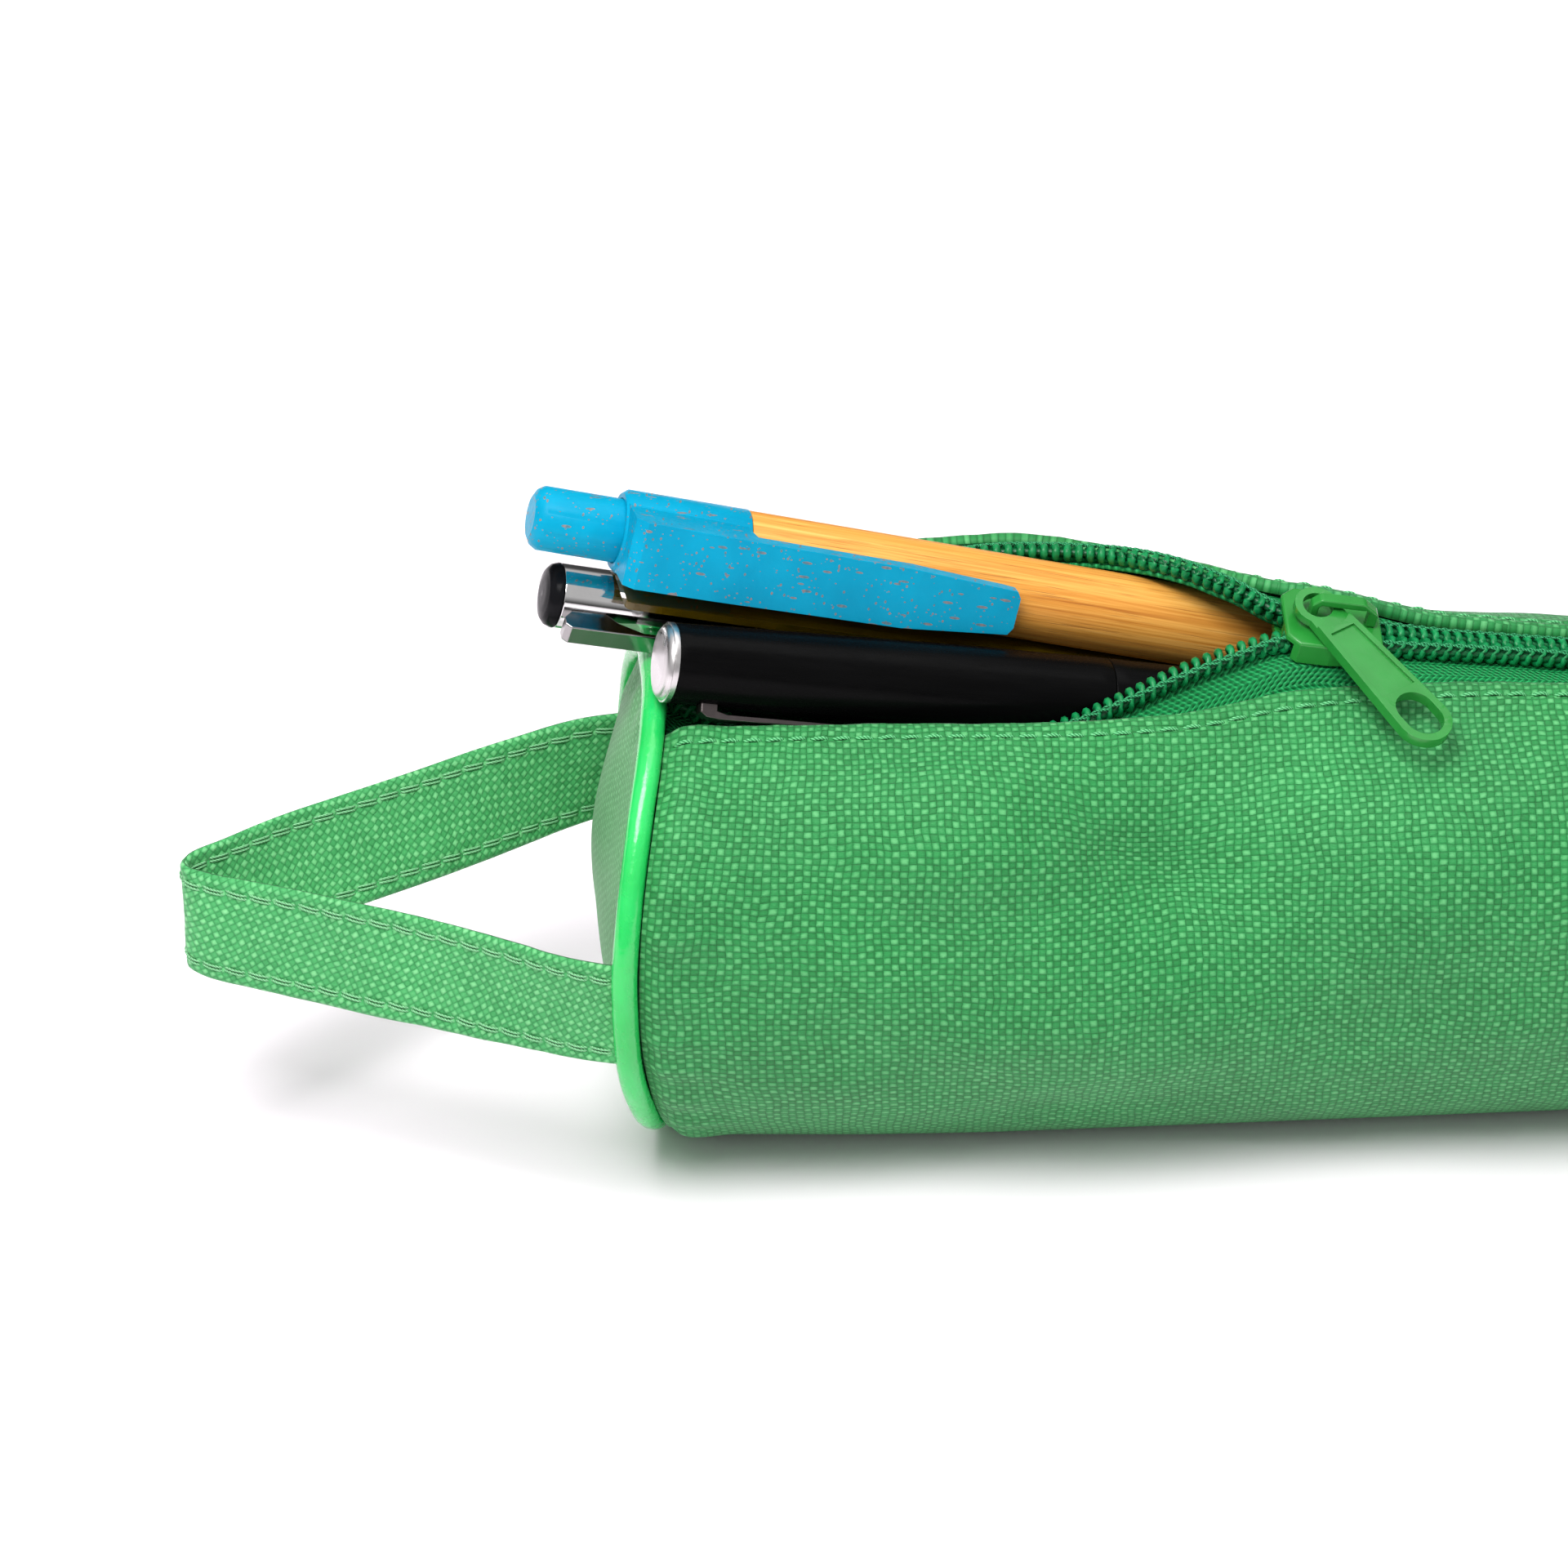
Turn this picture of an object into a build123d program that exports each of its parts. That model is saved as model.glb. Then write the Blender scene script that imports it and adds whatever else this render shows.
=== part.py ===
"""A filled pencil case: a soft fabric tube with a zip along its top, a loop handle on one end, and
three pens and a ruler standing out of its half-open mouth.

Frame: +X runs along the case from the handle end to the plain end, +Z is up, and the case rests on
Z = 0 with its base centred on the origin. The zip side that opens towards -Y is called the front.
Every length is in millimetres.
"""

from build123d import *
import math
import os

# ---- driving dimensions of the case ----
CASE_LENGTH = 196.0  # from one end seam to the other
HALF = CASE_LENGTH / 2
RIM_HEIGHT = 32.2  # height of the centre of both end seams
FABRIC = 0.9  # the woven shell with its lining
PIPING_RADIUS = 1.6
PIPING_RING = 30.3  # its lowest point is just off the surface, which the cloth between the ends rests on
PANEL_GAP = 0.1  # from the piping's side to the edge of the panel
DOME_HEIGHT = 7.2  # how far the contents push the end discs out
BINDING_WIDTH = 6.5

# ---- zip ----
ZIP_RADIUS = 389.0  # the closed zip sags along an arc of this radius
ZIP_LOW_X = 55.5  # lowest point of that arc
ZIP_LOW_Z = 59.0
ZIP_CENTRE_Z = ZIP_LOW_Z + ZIP_RADIUS
TAPE = 0.5
COIL_RADIUS = 1.2
SLIDER_X = -11.1
SLIDER_LENGTH = 12.4

# ---- handle ----
STRAP_WIDTH = 14.2
STRAP_THICKNESS = 1.2
STRAP_REACH = 57.0  # from the end seam to the tip of the loop
STRAP_STEPS = 60

# ---- pens: the point on each axis above the end seam, and how it runs on from there per millimetre of X ----
BAMBOO = {"start": -110.0, "y0": 5.5, "z0": 79.3, "dy": 0.095, "dz": -0.2756}
BLACK = {"start": -95.1, "y0": -8.5, "z0": 69.2, "dy": 0.138, "dz": -0.2235}
CHROME = {"start": -108.9, "y0": 7.5, "z0": 67.95, "dy": 0.145, "dz": -0.2756}
RULER = {"start": -98.6, "y0": -2.2, "z0": 73.1, "dy": 0.14, "dz": -0.2756}

os.makedirs("parts", exist_ok=True)


def save(node, shape):
    """Writes one named node, as the solids that it holds."""
    shape.label = node
    export_step(shape, f"parts/{node}.step")


def station(distance):
    """X of a place given as its distance from the handle end's seam."""
    return distance - HALF


def turned(outline):
    """A solid of revolution about X from (x, radius) points."""
    return revolve(make_face(Polyline(*outline, close=True)), axis=Axis.X)


def zip_height(x):
    """Height of the zip's arc at x."""
    return ZIP_CENTRE_Z - math.sqrt(ZIP_RADIUS**2 - (x - ZIP_LOW_X) ** 2)


# ---- soft shells, made as lofts through cross-sections ----
def bezier(p0, p1, p2, p3, count):
    """Evenly stepped points on a cubic curve, without its first point."""
    points = []
    for i in range(1, count + 1):
        t = i / count
        a, b, c, d = (1 - t) ** 3, 3 * t * (1 - t) ** 2, 3 * t**2 * (1 - t), t**3
        points.append(
            (
                a * p0[0] + b * p1[0] + c * p2[0] + d * p3[0],
                a * p0[1] + b * p1[1] + c * p2[1] + d * p3[1],
            )
        )
    return points


def thick_section(x, line, thickness):
    """The face in the plane of x that follows the (y, z) line with that thickness."""
    outer, inner = [], []
    for i, (y, z) in enumerate(line):
        before, after = line[max(i - 1, 0)], line[min(i + 1, len(line) - 1)]
        dy, dz = after[0] - before[0], after[1] - before[1]
        size = math.hypot(dy, dz)
        ny, nz = dz / size * thickness / 2, -dy / size * thickness / 2
        outer.append(Vector(x, y + ny, z + nz))
        inner.append(Vector(x, y - ny, z - nz))
    edges = [
        Spline(*outer),
        Line(outer[-1], inner[-1]),
        Spline(*reversed(inner)),
        Line(inner[0], outer[0]),
    ]
    return Face(Wire(edges))


def shell(sections, thickness):
    """A soft sheet of that thickness through (x, line) sections."""
    return loft([thick_section(x, line, thickness) for x, line in sections])


# Each row is one cross-section of the panel: distance from the handle end's seam, half width, height of
# the widest point, height of the belly, front hem (y, z), its rise in degrees, rear hem (y, z), its rise.
PANEL_SECTIONS = [
    (1.7, 30.2, 32.2, 2.0, (-11.3, 60.2), 22, (11.3, 60.2), 22),
    (12, 30.3, 32.0, 1.3, (-11.4, 60.6), 22, (16.8, 63.0), 50),
    (30, 30.5, 31.6, 0.5, (-11.5, 60.3), 20, (21.2, 67.6), 72),
    (48, 30.6, 31.3, 0.15, (-11.4, 59.6), 18, (22.2, 68.2), 68),
    (66, 30.6, 31.1, 0.15, (-10.0, 59.3), 22, (18.2, 66.9), 45),
    (84, 30.6, 31.0, 0.15, (-7.4, 60.9), 34, (9.2, 66.2), 28),
    (104, 30.6, 31.0, 0.15, (-6.4, 60.4), 18, (6.5, 61.6), 18),
    (130, 30.6, 31.0, 0.15, (-6.3, 59.0), 12, (6.3, 59.2), 12),
    (165, 30.6, 31.2, 0.15, (-6.3, 59.0), 12, (6.3, 59.0), 12),
    (184, 30.4, 31.8, 1.2, (-6.3, 60.4), 12, (6.3, 60.4), 12),
    (194.3, 30.2, 32.2, 2.0, (-6.3, 61.8), 12, (6.3, 61.8), 12),
]
REST_FLAT = 9.0  # half width of the part of the belly that is pressed flat
BELLY_FULLNESS = 0.45  # handles of the curve from that flat to the widest place, as shares of its two spans
SIDE_HANDLE = 0.44  # length of the side curves' handles, as a share of their chord


def panel_line(half_width, middle, belly, front, front_rise, rear, rear_rise):
    """The panel's mid line from the front hem round the belly to the rear hem."""
    drop = middle - belly

    def side(sign, hem, rise):
        """Points from the widest place up to the hem."""
        foot = (sign * half_width, middle)
        reach = math.dist(foot, hem) * SIDE_HANDLE
        rise = math.radians(rise)
        guide = (
            hem[0] + sign * reach * math.cos(rise),
            hem[1] - reach * math.sin(rise),
        )
        return [foot] + bezier(foot, (foot[0], middle + reach), guide, hem, 6)

    def quarter(sign):
        """Points from the edge of the flat out to the widest place."""
        start = (sign * REST_FLAT, belly)
        out = REST_FLAT + (half_width - REST_FLAT) * BELLY_FULLNESS
        return [start] + bezier(
            start,
            (sign * out, belly),
            (sign * half_width, middle - drop * BELLY_FULLNESS),
            (sign * half_width, middle),
            5,
        )

    front_side = side(-1, front, front_rise)
    rear_side = side(1, rear, rear_rise)
    front_low = quarter(-1)
    rear_low = quarter(1)
    return (
        list(reversed(front_side))
        + list(reversed(front_low[:-1]))
        + [(0, belly)]
        + rear_low[:-1]
        + rear_side
    )


def body_panel():
    """The one rectangle of cloth that wraps round from the front hem to the rear hem, flat where it rests."""
    sections = [(station(row[0]), panel_line(*row[1:])) for row in PANEL_SECTIONS]
    table = Pos(0, 0, -10) * Box(CASE_LENGTH + 20, 100, 20)
    return shell(sections, FABRIC) - table


# Each row is one cross-section of a zip half: distance from the seam, then (y, z) of the middle of the
# coil, of the tape's shoulder where it leaves the slider, and of the tape's edge, sewn under the hem.
FRONT_ZIP = [
    (2.0, (-3.6, 60.4), (-7.5, 59.9), (-13.4, 58.0)),
    (12, (-6.0, 57.4), (-9.4, 57.5), (-13.6, 57.9)),
    (30, (-10.2, 54.6), (-12.0, 55.8), (-14.4, 57.3)),
    (44, (-10.0, 55.6), (-11.8, 56.0), (-14.2, 56.6)),
    (54, (-8.6, 57.6), (-10.8, 57.1), (-13.8, 56.2)),
    (61, (-6.8, 59.8), (-9.4, 58.4), (-13.2, 56.1)),
    (68, (-5.0, 62.2), (-8.2, 59.6), (-12.3, 56.2)),
    (75, (-3.9, 64.3), (-7.3, 61.6), (-11.6, 57.4)),
    (80.5, (-2.95, 65.3), (-6.0, 64.5), (-10.8, 57.5)),
    (86.5, (-1.42, 64.5), (-5.6, 63.4), (-10.7, 58.0)),
    (93.5, (-1.42, 63.35), (-5.6, 62.3), (-10.8, 57.9)),
    (104, (-1.45, 62.2), (-5.65, 61.7), (-11.0, 57.7)),
    (130, (-1.45, 59.75), (-5.65, 59.5), (-11.4, 57.4)),
    (165, (-1.45, 59.25), (-5.65, 59.1), (-11.6, 57.4)),
    (194.0, (-1.45, 60.6), (-5.65, 60.5), (-11.8, 58.9)),
]
REAR_ZIP = [
    (2.0, (3.6, 60.4), (7.5, 59.9), (13.4, 58.0)),
    (12, (14.4, 57.6), (15.2, 58.8), (16.4, 60.4)),
    (30, (17.6, 62.0), (18.6, 63.0), (19.8, 64.2)),
    (40, (19.0, 66.6), (20.2, 66.0), (21.8, 65.0)),
    (50, (18.0, 68.0), (19.8, 67.0), (22.2, 65.4)),
    (60, (16.2, 68.2), (18.2, 67.3), (21.2, 65.2)),
    (68, (11.3, 69.0), (14.2, 68.3), (18.6, 65.2)),
    (75, (6.8, 68.1), (10.2, 67.7), (15.4, 65.2)),
    (80.5, (2.95, 66.5), (6.4, 67.1), (12.9, 65.4)),
    (86.5, (1.42, 65.1), (5.6, 66.1), (12.2, 64.0)),
    (93.5, (1.42, 63.95), (5.6, 64.9), (12.0, 62.2)),
    (104, (1.45, 62.2), (5.65, 62.0), (11.6, 59.6)),
    (130, (1.45, 59.75), (5.65, 59.5), (11.6, 57.6)),
    (165, (1.45, 59.25), (5.65, 59.1), (11.6, 57.4)),
    (194.0, (1.45, 60.6), (5.65, 60.5), (11.8, 58.9)),
]
TAPE_UNDER_COIL = COIL_RADIUS + 0.05
ZIP_STEP = 5.5


def flow(places, values, at):
    """The value at a place on a smooth line that never overshoots the rows it runs through."""
    last = len(places) - 1
    i = max(k for k in range(last) if places[k] <= at or k == 0)
    steps = [places[k + 1] - places[k] for k in range(last)]
    slopes = [(values[k + 1] - values[k]) / steps[k] for k in range(last)]

    def lean(k):
        """Slope of the line at row k."""
        if k == 0:
            return slopes[0]
        if k == last:
            return slopes[-1]
        if slopes[k - 1] * slopes[k] <= 0:
            return 0.0
        return 2 * slopes[k - 1] * slopes[k] / (slopes[k - 1] + slopes[k])

    t = (at - places[i]) / steps[i]
    ease = t * t * (3 - 2 * t)
    return (
        values[i] * (1 - ease)
        + values[i + 1] * ease
        + steps[i] * t * (1 - t) * (lean(i) * (1 - t) - lean(i + 1) * t)
    )


def zip_rows(rows):
    """The same rows, smoothly filled in every few millimetres."""
    places = [row[0] for row in rows]
    count = round((places[-1] - places[0]) / ZIP_STEP)
    filled = []
    for k in range(count + 1):
        at = places[0] + (places[-1] - places[0]) * k / count
        points = [
            tuple(flow(places, [row[n][axis] for row in rows], at) for axis in (0, 1))
            for n in (1, 2, 3)
        ]
        filled.append((at, *points))
    return filled


def outward(start, end):
    """The unit normal of a line in a section that points out of the case."""
    dy, dz = end[0] - start[0], end[1] - start[1]
    size = math.hypot(dy, dz)
    return (-dz / size, dy / size) if dy > 0 else (dz / size, -dy / size)


def zip_tape(rows):
    """The woven tape under one coil, out to its sewn edge."""
    faces = []
    for distance, coil, shoulder, edge in zip_rows(rows):
        near = outward(coil, shoulder)
        far = outward(shoulder, edge)
        middle = ((near[0] + far[0]) / 2, (near[1] + far[1]) / 2)
        corners = [
            (coil, near, -TAPE_UNDER_COIL),
            (shoulder, middle, -TAPE_UNDER_COIL),
            (edge, far, -TAPE_UNDER_COIL),
            (edge, far, -TAPE_UNDER_COIL - TAPE),
            (shoulder, middle, -TAPE_UNDER_COIL - TAPE),
            (coil, near, -TAPE_UNDER_COIL - TAPE),
        ]
        points = [
            Vector(station(distance), point[0] + normal[0] * rise, point[1] + normal[1] * rise)
            for point, normal, rise in corners
        ]
        faces.append(Face(Wire.make_polygon(points, close=True)))
    return loft(faces, ruled=True)


def zip_coil(rows):
    """The outer shape of one row of nylon coil, which runs along the tape's edge."""
    faces = []
    for distance, coil, _, _ in zip_rows(rows):
        points = [
            Vector(
                station(distance),
                coil[0] + COIL_RADIUS * math.cos(math.radians(45 * k + 22.5)),
                coil[1] + COIL_RADIUS * math.sin(math.radians(45 * k + 22.5)),
            )
            for k in range(8)
        ]
        faces.append(Face(Wire.make_polygon(points, close=True)))
    return loft(faces, ruled=True)


# ---- ends of the case ----
def end_disc():
    """A round end panel, bulged outwards, with its seam at X = 0 and its dome towards -X."""
    rim = PIPING_RING - PIPING_RADIUS - 0.1
    bulge = (rim**2 + DOME_HEIGHT**2) / (2 * DOME_HEIGHT)
    ball = Sphere(bulge) - Sphere(bulge - FABRIC)
    blank = Pos(-1.0, 0, 0) * Rot(0, 90, 0) * Cylinder(rim, 2 * DOME_HEIGHT)
    return (Pos(bulge - DOME_HEIGHT, 0, 0) * ball) & blank


def piping():
    """The solid vinyl cord round an end seam."""
    ring = Plane.YZ * Torus(PIPING_RING, PIPING_RADIUS)
    return ring


def binding():
    """The tape that covers the raw seam inside an end, and stops on each side of the zip."""
    outer = PIPING_RING - PIPING_RADIUS - 0.1
    start = FABRIC + 0.4
    ring = turned(
        [
            (start, outer),
            (start + BINDING_WIDTH, outer),
            (start + BINDING_WIDTH, outer - 0.8),
            (start, outer - 0.8),
        ]
    )
    return ring - Pos(0, 0, outer) * Box(4 * BINDING_WIDTH, 40, 24)


def at_handle_end(shape):
    return Pos(-HALF, 0, RIM_HEIGHT) * shape


def at_plain_end(shape):
    return Pos(HALF, 0, RIM_HEIGHT) * Rot(0, 0, 180) * shape


def handle_loop():
    """A flat strap on edge, sewn into the handle end's seam at both sides and pinched at its tip."""
    side = PIPING_RING
    tip_y = -6.0
    front = Spline(
        (-HALF - 0.6, -side),
        (-HALF - 17.0, -23.4),
        (-HALF - 36.0, -15.2),
        (-HALF - STRAP_REACH + 3.0, tip_y - 4.6),
    )
    turn = ThreePointArc(
        front @ 1, (-HALF - STRAP_REACH, tip_y), (-HALF - STRAP_REACH + 4.0, tip_y + 3.4)
    )
    rear = Spline(
        turn @ 1,
        (-HALF - 36.0, 8.2),
        (-HALF - 17.0, 20.6),
        (-HALF - 0.6, side),
    )
    route = Wire([front, turn, rear])
    outer, inner = [], []
    for k in range(STRAP_STEPS + 1):
        point, heading = route @ (k / STRAP_STEPS), route % (k / STRAP_STEPS)
        across = Vector(-heading.Y, heading.X, 0) * (STRAP_THICKNESS / 2)
        outer.append(point + across)
        inner.append(point - across)
    edges = [
        Spline(*outer),
        Line(outer[-1], inner[-1]),
        Spline(*reversed(inner)),
        Line(inner[0], outer[0]),
    ]
    strap = extrude(Face(Wire(edges)), STRAP_WIDTH, dir=(0, 0, 1))
    strap = Pos(0, 0, RIM_HEIGHT - STRAP_WIDTH / 2) * strap
    keep_out = Rot(0, 90, 0) * Cylinder(PIPING_RING - 0.4, 6.0)
    groove = Plane.YZ * Torus(PIPING_RING, PIPING_RADIUS + 0.05)
    return strap - at_handle_end(keep_out) - at_handle_end(groove)


# ---- zip slider, in its own frame: X along the zip towards the plain end, Z out of the case ----
SLIDER_ROLL = 12.0  # its front edge is pulled down, as the rear hem stands higher than the front one
PLATE = 0.9
CHANNEL_TOP = 1.38  # underside of the top plate
CHANNEL_LOW = -1.95  # upper side of the bottom plate
PLATE_WIDE = 10.8
PLATE_NARROW = 9.2
FLANGE = 0.75
TAPE_SLOT = -0.85  # the flanges reach down to here, and the tape leaves below them
PLATE_TOP = CHANNEL_TOP + PLATE
BRIDGE_OPENING = 2.5  # under the bridge, where the pull tab's ring passes
BRIDGE_STRAP = 1.0
BRIDGE_WIDTH = 1.6
BRIDGE_START = -3.3
BRIDGE_END = 5.3


def wing_outline(grow=0.0):
    """Plan of a slider plate: wide and rounded at the mouth, narrower at the tail."""
    half = SLIDER_LENGTH / 2 + grow
    wide, narrow = PLATE_WIDE / 2 + grow, PLATE_NARROW / 2 + grow
    return make_face(
        Polyline(
            (-half, -wide + 1.6),
            (-half + 1.6, -wide),
            (-0.5, -wide),
            (half - 1.2, -narrow),
            (half, -narrow + 1.2),
            (half, narrow - 1.2),
            (half - 1.2, narrow),
            (-0.5, wide),
            (-half + 1.6, wide),
            (-half, wide - 1.6),
            close=True,
        )
    )


def slider_body():
    """Two plates joined by the post that parts the teeth, with flanges that hold the coils in."""
    plan = wing_outline()
    top = Pos(0, 0, CHANNEL_TOP) * extrude(plan, PLATE)
    top = fillet(top.edges().group_by(Axis.Z)[-1], radius=0.35)
    bottom = Pos(0, 0, CHANNEL_LOW - PLATE) * extrude(plan, PLATE)
    hang = CHANNEL_TOP - TAPE_SLOT
    skirt = Pos(0, 0, TAPE_SLOT) * extrude(plan - wing_outline(-FLANGE), hang)
    tail = Pos(SLIDER_LENGTH / 2, 0, 0) * Box(4, PLATE_NARROW - 2 * FLANGE, 10)
    mouth = Pos(-SLIDER_LENGTH / 2, 0, 0) * Box(4, PLATE_WIDE - 2 * FLANGE, 10)
    post_plan = make_face(
        Polyline((-5.7, -0.8), (-4.7, -1.05), (-2.6, 0), (-4.7, 1.05), (-5.7, 0.8), close=True)
    )
    post = Pos(0, 0, CHANNEL_LOW) * extrude(post_plan, CHANNEL_TOP - CHANNEL_LOW)
    return top + bottom + post + (skirt - tail - mouth)


def slider_bridge():
    """The arched strap on top of the slider that carries the pull tab."""
    top = PLATE_TOP + BRIDGE_OPENING + BRIDGE_STRAP
    side_view = make_face(
        Polyline(
            (BRIDGE_START, PLATE_TOP),
            (BRIDGE_START, top - 1.0),
            (BRIDGE_START + 1.0, top),
            (BRIDGE_END - 2.0, top),
            (BRIDGE_END, top - 1.4),
            (BRIDGE_END, PLATE_TOP),
            (BRIDGE_END - 1.2, PLATE_TOP),
            (BRIDGE_END - 1.2, PLATE_TOP + BRIDGE_OPENING - 0.5),
            (BRIDGE_END - 1.7, PLATE_TOP + BRIDGE_OPENING),
            (BRIDGE_START + 1.4, PLATE_TOP + BRIDGE_OPENING),
            (BRIDGE_START + 1.0, PLATE_TOP + BRIDGE_OPENING - 0.4),
            (BRIDGE_START + 1.0, PLATE_TOP),
            close=True,
        )
    )
    return extrude(Plane.XZ * side_view, BRIDGE_WIDTH / 2, both=True)


# ---- pull tab, in its own frame: X from the middle of its ring to its free end, Z off the case ----
TAB_REACH = 20.6  # from the middle of the ring to the middle of the round end
TAB_THICKNESS = 1.5
RING_THICKNESS = 1.1
RING_HOLE = 1.95
RING_OUTER = 2.95
TAB_END = 3.6
TAB_HOLE = 2.55
TAB_RIM = 0.75


def pull_tab():
    """A long tab with a raised rim, a ring that hooks the bridge and a finger hole near its end."""
    ring = extrude(Circle(RING_OUTER) - Circle(RING_HOLE), RING_THICKNESS)
    web = make_face(
        Polyline(
            (1.6, -2.5),
            (TAB_REACH, -TAB_END),
            (TAB_REACH, TAB_END),
            (1.6, 2.5),
            close=True,
        )
    )
    finger_hole = Pos(TAB_REACH - 0.8, 0) * SlotOverall(2 * TAB_HOLE + 1.6, 2 * TAB_HOLE)
    plan = web + Pos(TAB_REACH, 0) * Circle(TAB_END) - finger_hole
    plate = extrude(plan - Circle(RING_HOLE), TAB_THICKNESS)
    thin = Pos(0, 0, RING_THICKNESS) * extrude(Circle(RING_OUTER + 0.9), 2.0)
    face_start = RING_OUTER + 1.7
    face_end = TAB_REACH - TAB_HOLE - 2.4
    recess_plan = make_face(
        Polyline(
            (face_start, -2.65 + TAB_RIM),
            (face_end, -TAB_END + TAB_RIM + 0.2),
            (face_end, TAB_END - TAB_RIM - 0.2),
            (face_start, 2.65 - TAB_RIM),
            close=True,
        )
    )
    recess = Pos(0, 0, TAB_THICKNESS - 0.35) * extrude(recess_plan, 1.0)
    return Pos(0, 0, -RING_THICKNESS / 2) * (ring + (plate - thin - recess))


def on_zip(shape):
    """Places a shape from the slider's frame onto the zip."""
    lean = math.degrees(math.asin((ZIP_LOW_X - SLIDER_X) / ZIP_RADIUS))
    here = Pos(SLIDER_X, 0, zip_height(SLIDER_X))
    return here * Rot(0, lean, 0) * Rot(SLIDER_ROLL, 0, 0) * shape


TAB_PIVOT = (-2.4, 0.0, 3.85)  # middle of the tab's ring, in the slider's frame
TAB_LEAN = 8.5  # how far its ring tips towards the front
TAB_TURN = -54.0  # where it points, from straight along the zip


def placed_tab():
    """The tab as it lies over the front of the case, its ring round the bridge's first foot."""
    return on_zip(Pos(*TAB_PIVOT) * Rot(TAB_LEAN, 0, 0) * Rot(0, 0, TAB_TURN) * pull_tab())


# ---- pens, each in its own frame: X from the end outside the case to the writing end, Z towards the clip ----
def placed(line, clip_side, shape):
    """Lays a pen's piece along its line, with its clip turned to (y, z) clip_side."""
    along = Vector(1, line["dy"], line["dz"]).normalized()
    reach = line["start"] + HALF
    origin = Vector(
        line["start"], line["y0"] + line["dy"] * reach, line["z0"] + line["dz"] * reach
    )
    side = Vector(0, *clip_side)
    side = (side - along * side.dot(along)).normalized()
    return Plane(origin=origin, x_dir=along, z_dir=side).location * shape


CLEAR = 0.1

# The retractable pen with a bamboo barrel.
BAMBOO_RADIUS = 5.15
BAMBOO_CLIP_SIDE = (-0.98, 0.19)
COLLAR_START = 11.0
COLLAR_END = 27.0
BARREL_END = 118.0
BAMBOO_LENGTH = 139.0


def push_button():
    """The button, hollow at its inner end, where it drives the cam."""
    return turned(
        [
            (0, 0),
            (0, 2.6),
            (0.5, 3.5),
            (1.3, 4.0),
            (15.5, 4.0),
            (15.5, 2.55),
            (23.0, 2.55),
            (23.0, 0),
        ]
    )


def clip_collar():
    """The collar and the long clip, moulded in one piece."""
    collar = turned(
        [
            (COLLAR_START, 4.0 + CLEAR),
            (COLLAR_START, 4.7),
            (COLLAR_START + 0.7, 5.25),
            (COLLAR_END, 5.25),
            (COLLAR_END, 4.3),
            (COLLAR_END + 6.0, 4.3),
            (COLLAR_END + 6.0, 3.5),
            (20.6, 3.5),
            (20.6, 4.0 + CLEAR),
        ]
    )
    plan = make_face(
        Polyline(
            (COLLAR_START + 0.3, -4.35),
            (COLLAR_START + 36, -3.9),
            (61.0, -2.9),
            (61.6, -2.0),
            (61.6, 2.0),
            (61.0, 2.9),
            (COLLAR_START + 36, 3.9),
            (COLLAR_START + 0.3, 4.35),
            close=True,
        )
    )
    blank = extrude(plan, 20)
    side_view = Plane.XZ * make_face(
        Polyline(
            (COLLAR_START + 0.3, 2.0),
            (COLLAR_START + 0.3, 8.0),
            (COLLAR_START + 1.6, 9.2),
            (COLLAR_START + 12, 9.3),
            (48.0, 8.6),
            (61.6, 7.4),
            (61.6, 5.9),
            (59.5, 5.6),
            (48.0, 6.3),
            (COLLAR_START + 16, 6.9),
            (COLLAR_START + 15.2, 2.0),
            close=True,
        )
    )
    tongue = blank & extrude(side_view, 12, both=True)
    bore = turned([(0, 0), (0, 4.9), (COLLAR_END + 10, 4.9), (COLLAR_END + 10, 0)])
    return collar + (tongue - bore)


def cam_sleeve():
    """The fixed tube inside the collar that guides the cam."""
    return turned([(21.0, 2.7), (21.0, 3.4), (38.0, 3.4), (38.0, 2.7)])


def bamboo_barrel():
    """The bored bamboo tube, rebated at both ends."""
    return turned(
        [
            (COLLAR_END + CLEAR, 4.4),
            (COLLAR_END + CLEAR, BAMBOO_RADIUS),
            (BARREL_END - CLEAR, BAMBOO_RADIUS),
            (BARREL_END - CLEAR, 4.3),
            (BARREL_END - 6.2, 4.3),
            (BARREL_END - 6.2, 3.5),
            (COLLAR_END + 6.2, 3.5),
            (COLLAR_END + 6.2, 4.4),
        ]
    )


def nose_cone():
    """The moulded point of the pen, with a spigot inside the barrel."""
    return turned(
        [
            (BARREL_END - 6.0, 2.5),
            (BARREL_END - 6.0, 4.2),
            (BARREL_END, 4.2),
            (BARREL_END, 5.2),
            (124.0, 4.9),
            (132.0, 3.4),
            (BAMBOO_LENGTH - 0.5, 1.7),
            (BAMBOO_LENGTH, 1.4),
            (BAMBOO_LENGTH, 1.25),
            (135.4, 1.25),
            (135.4, 2.5),
        ]
    )


def cam_rotor():
    """The rotor between the button and the refill."""
    return turned([(23.1, 0), (23.1, 2.55), (27.0, 2.55), (29.0, 1.9), (31.0, 1.9), (31.0, 0)])


def refill_tube():
    return turned([(31.1, 0), (31.1, 1.55), (118.5, 1.55), (118.5, 0)])


def refill_point():
    """The brass point with its ball, and the shoulder that the spring pushes on."""
    return turned(
        [
            (118.6, 0),
            (118.6, 1.55),
            (121.5, 1.55),
            (121.5, 1.15),
            (134.4, 1.15),
            (137.4, 0.45),
            (137.9, 0.3),
            (137.9, 0),
        ]
    )


SPRING_FROM = 121.8
SPRING_TO = 135.2
SPRING_TURNS = 7


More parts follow.
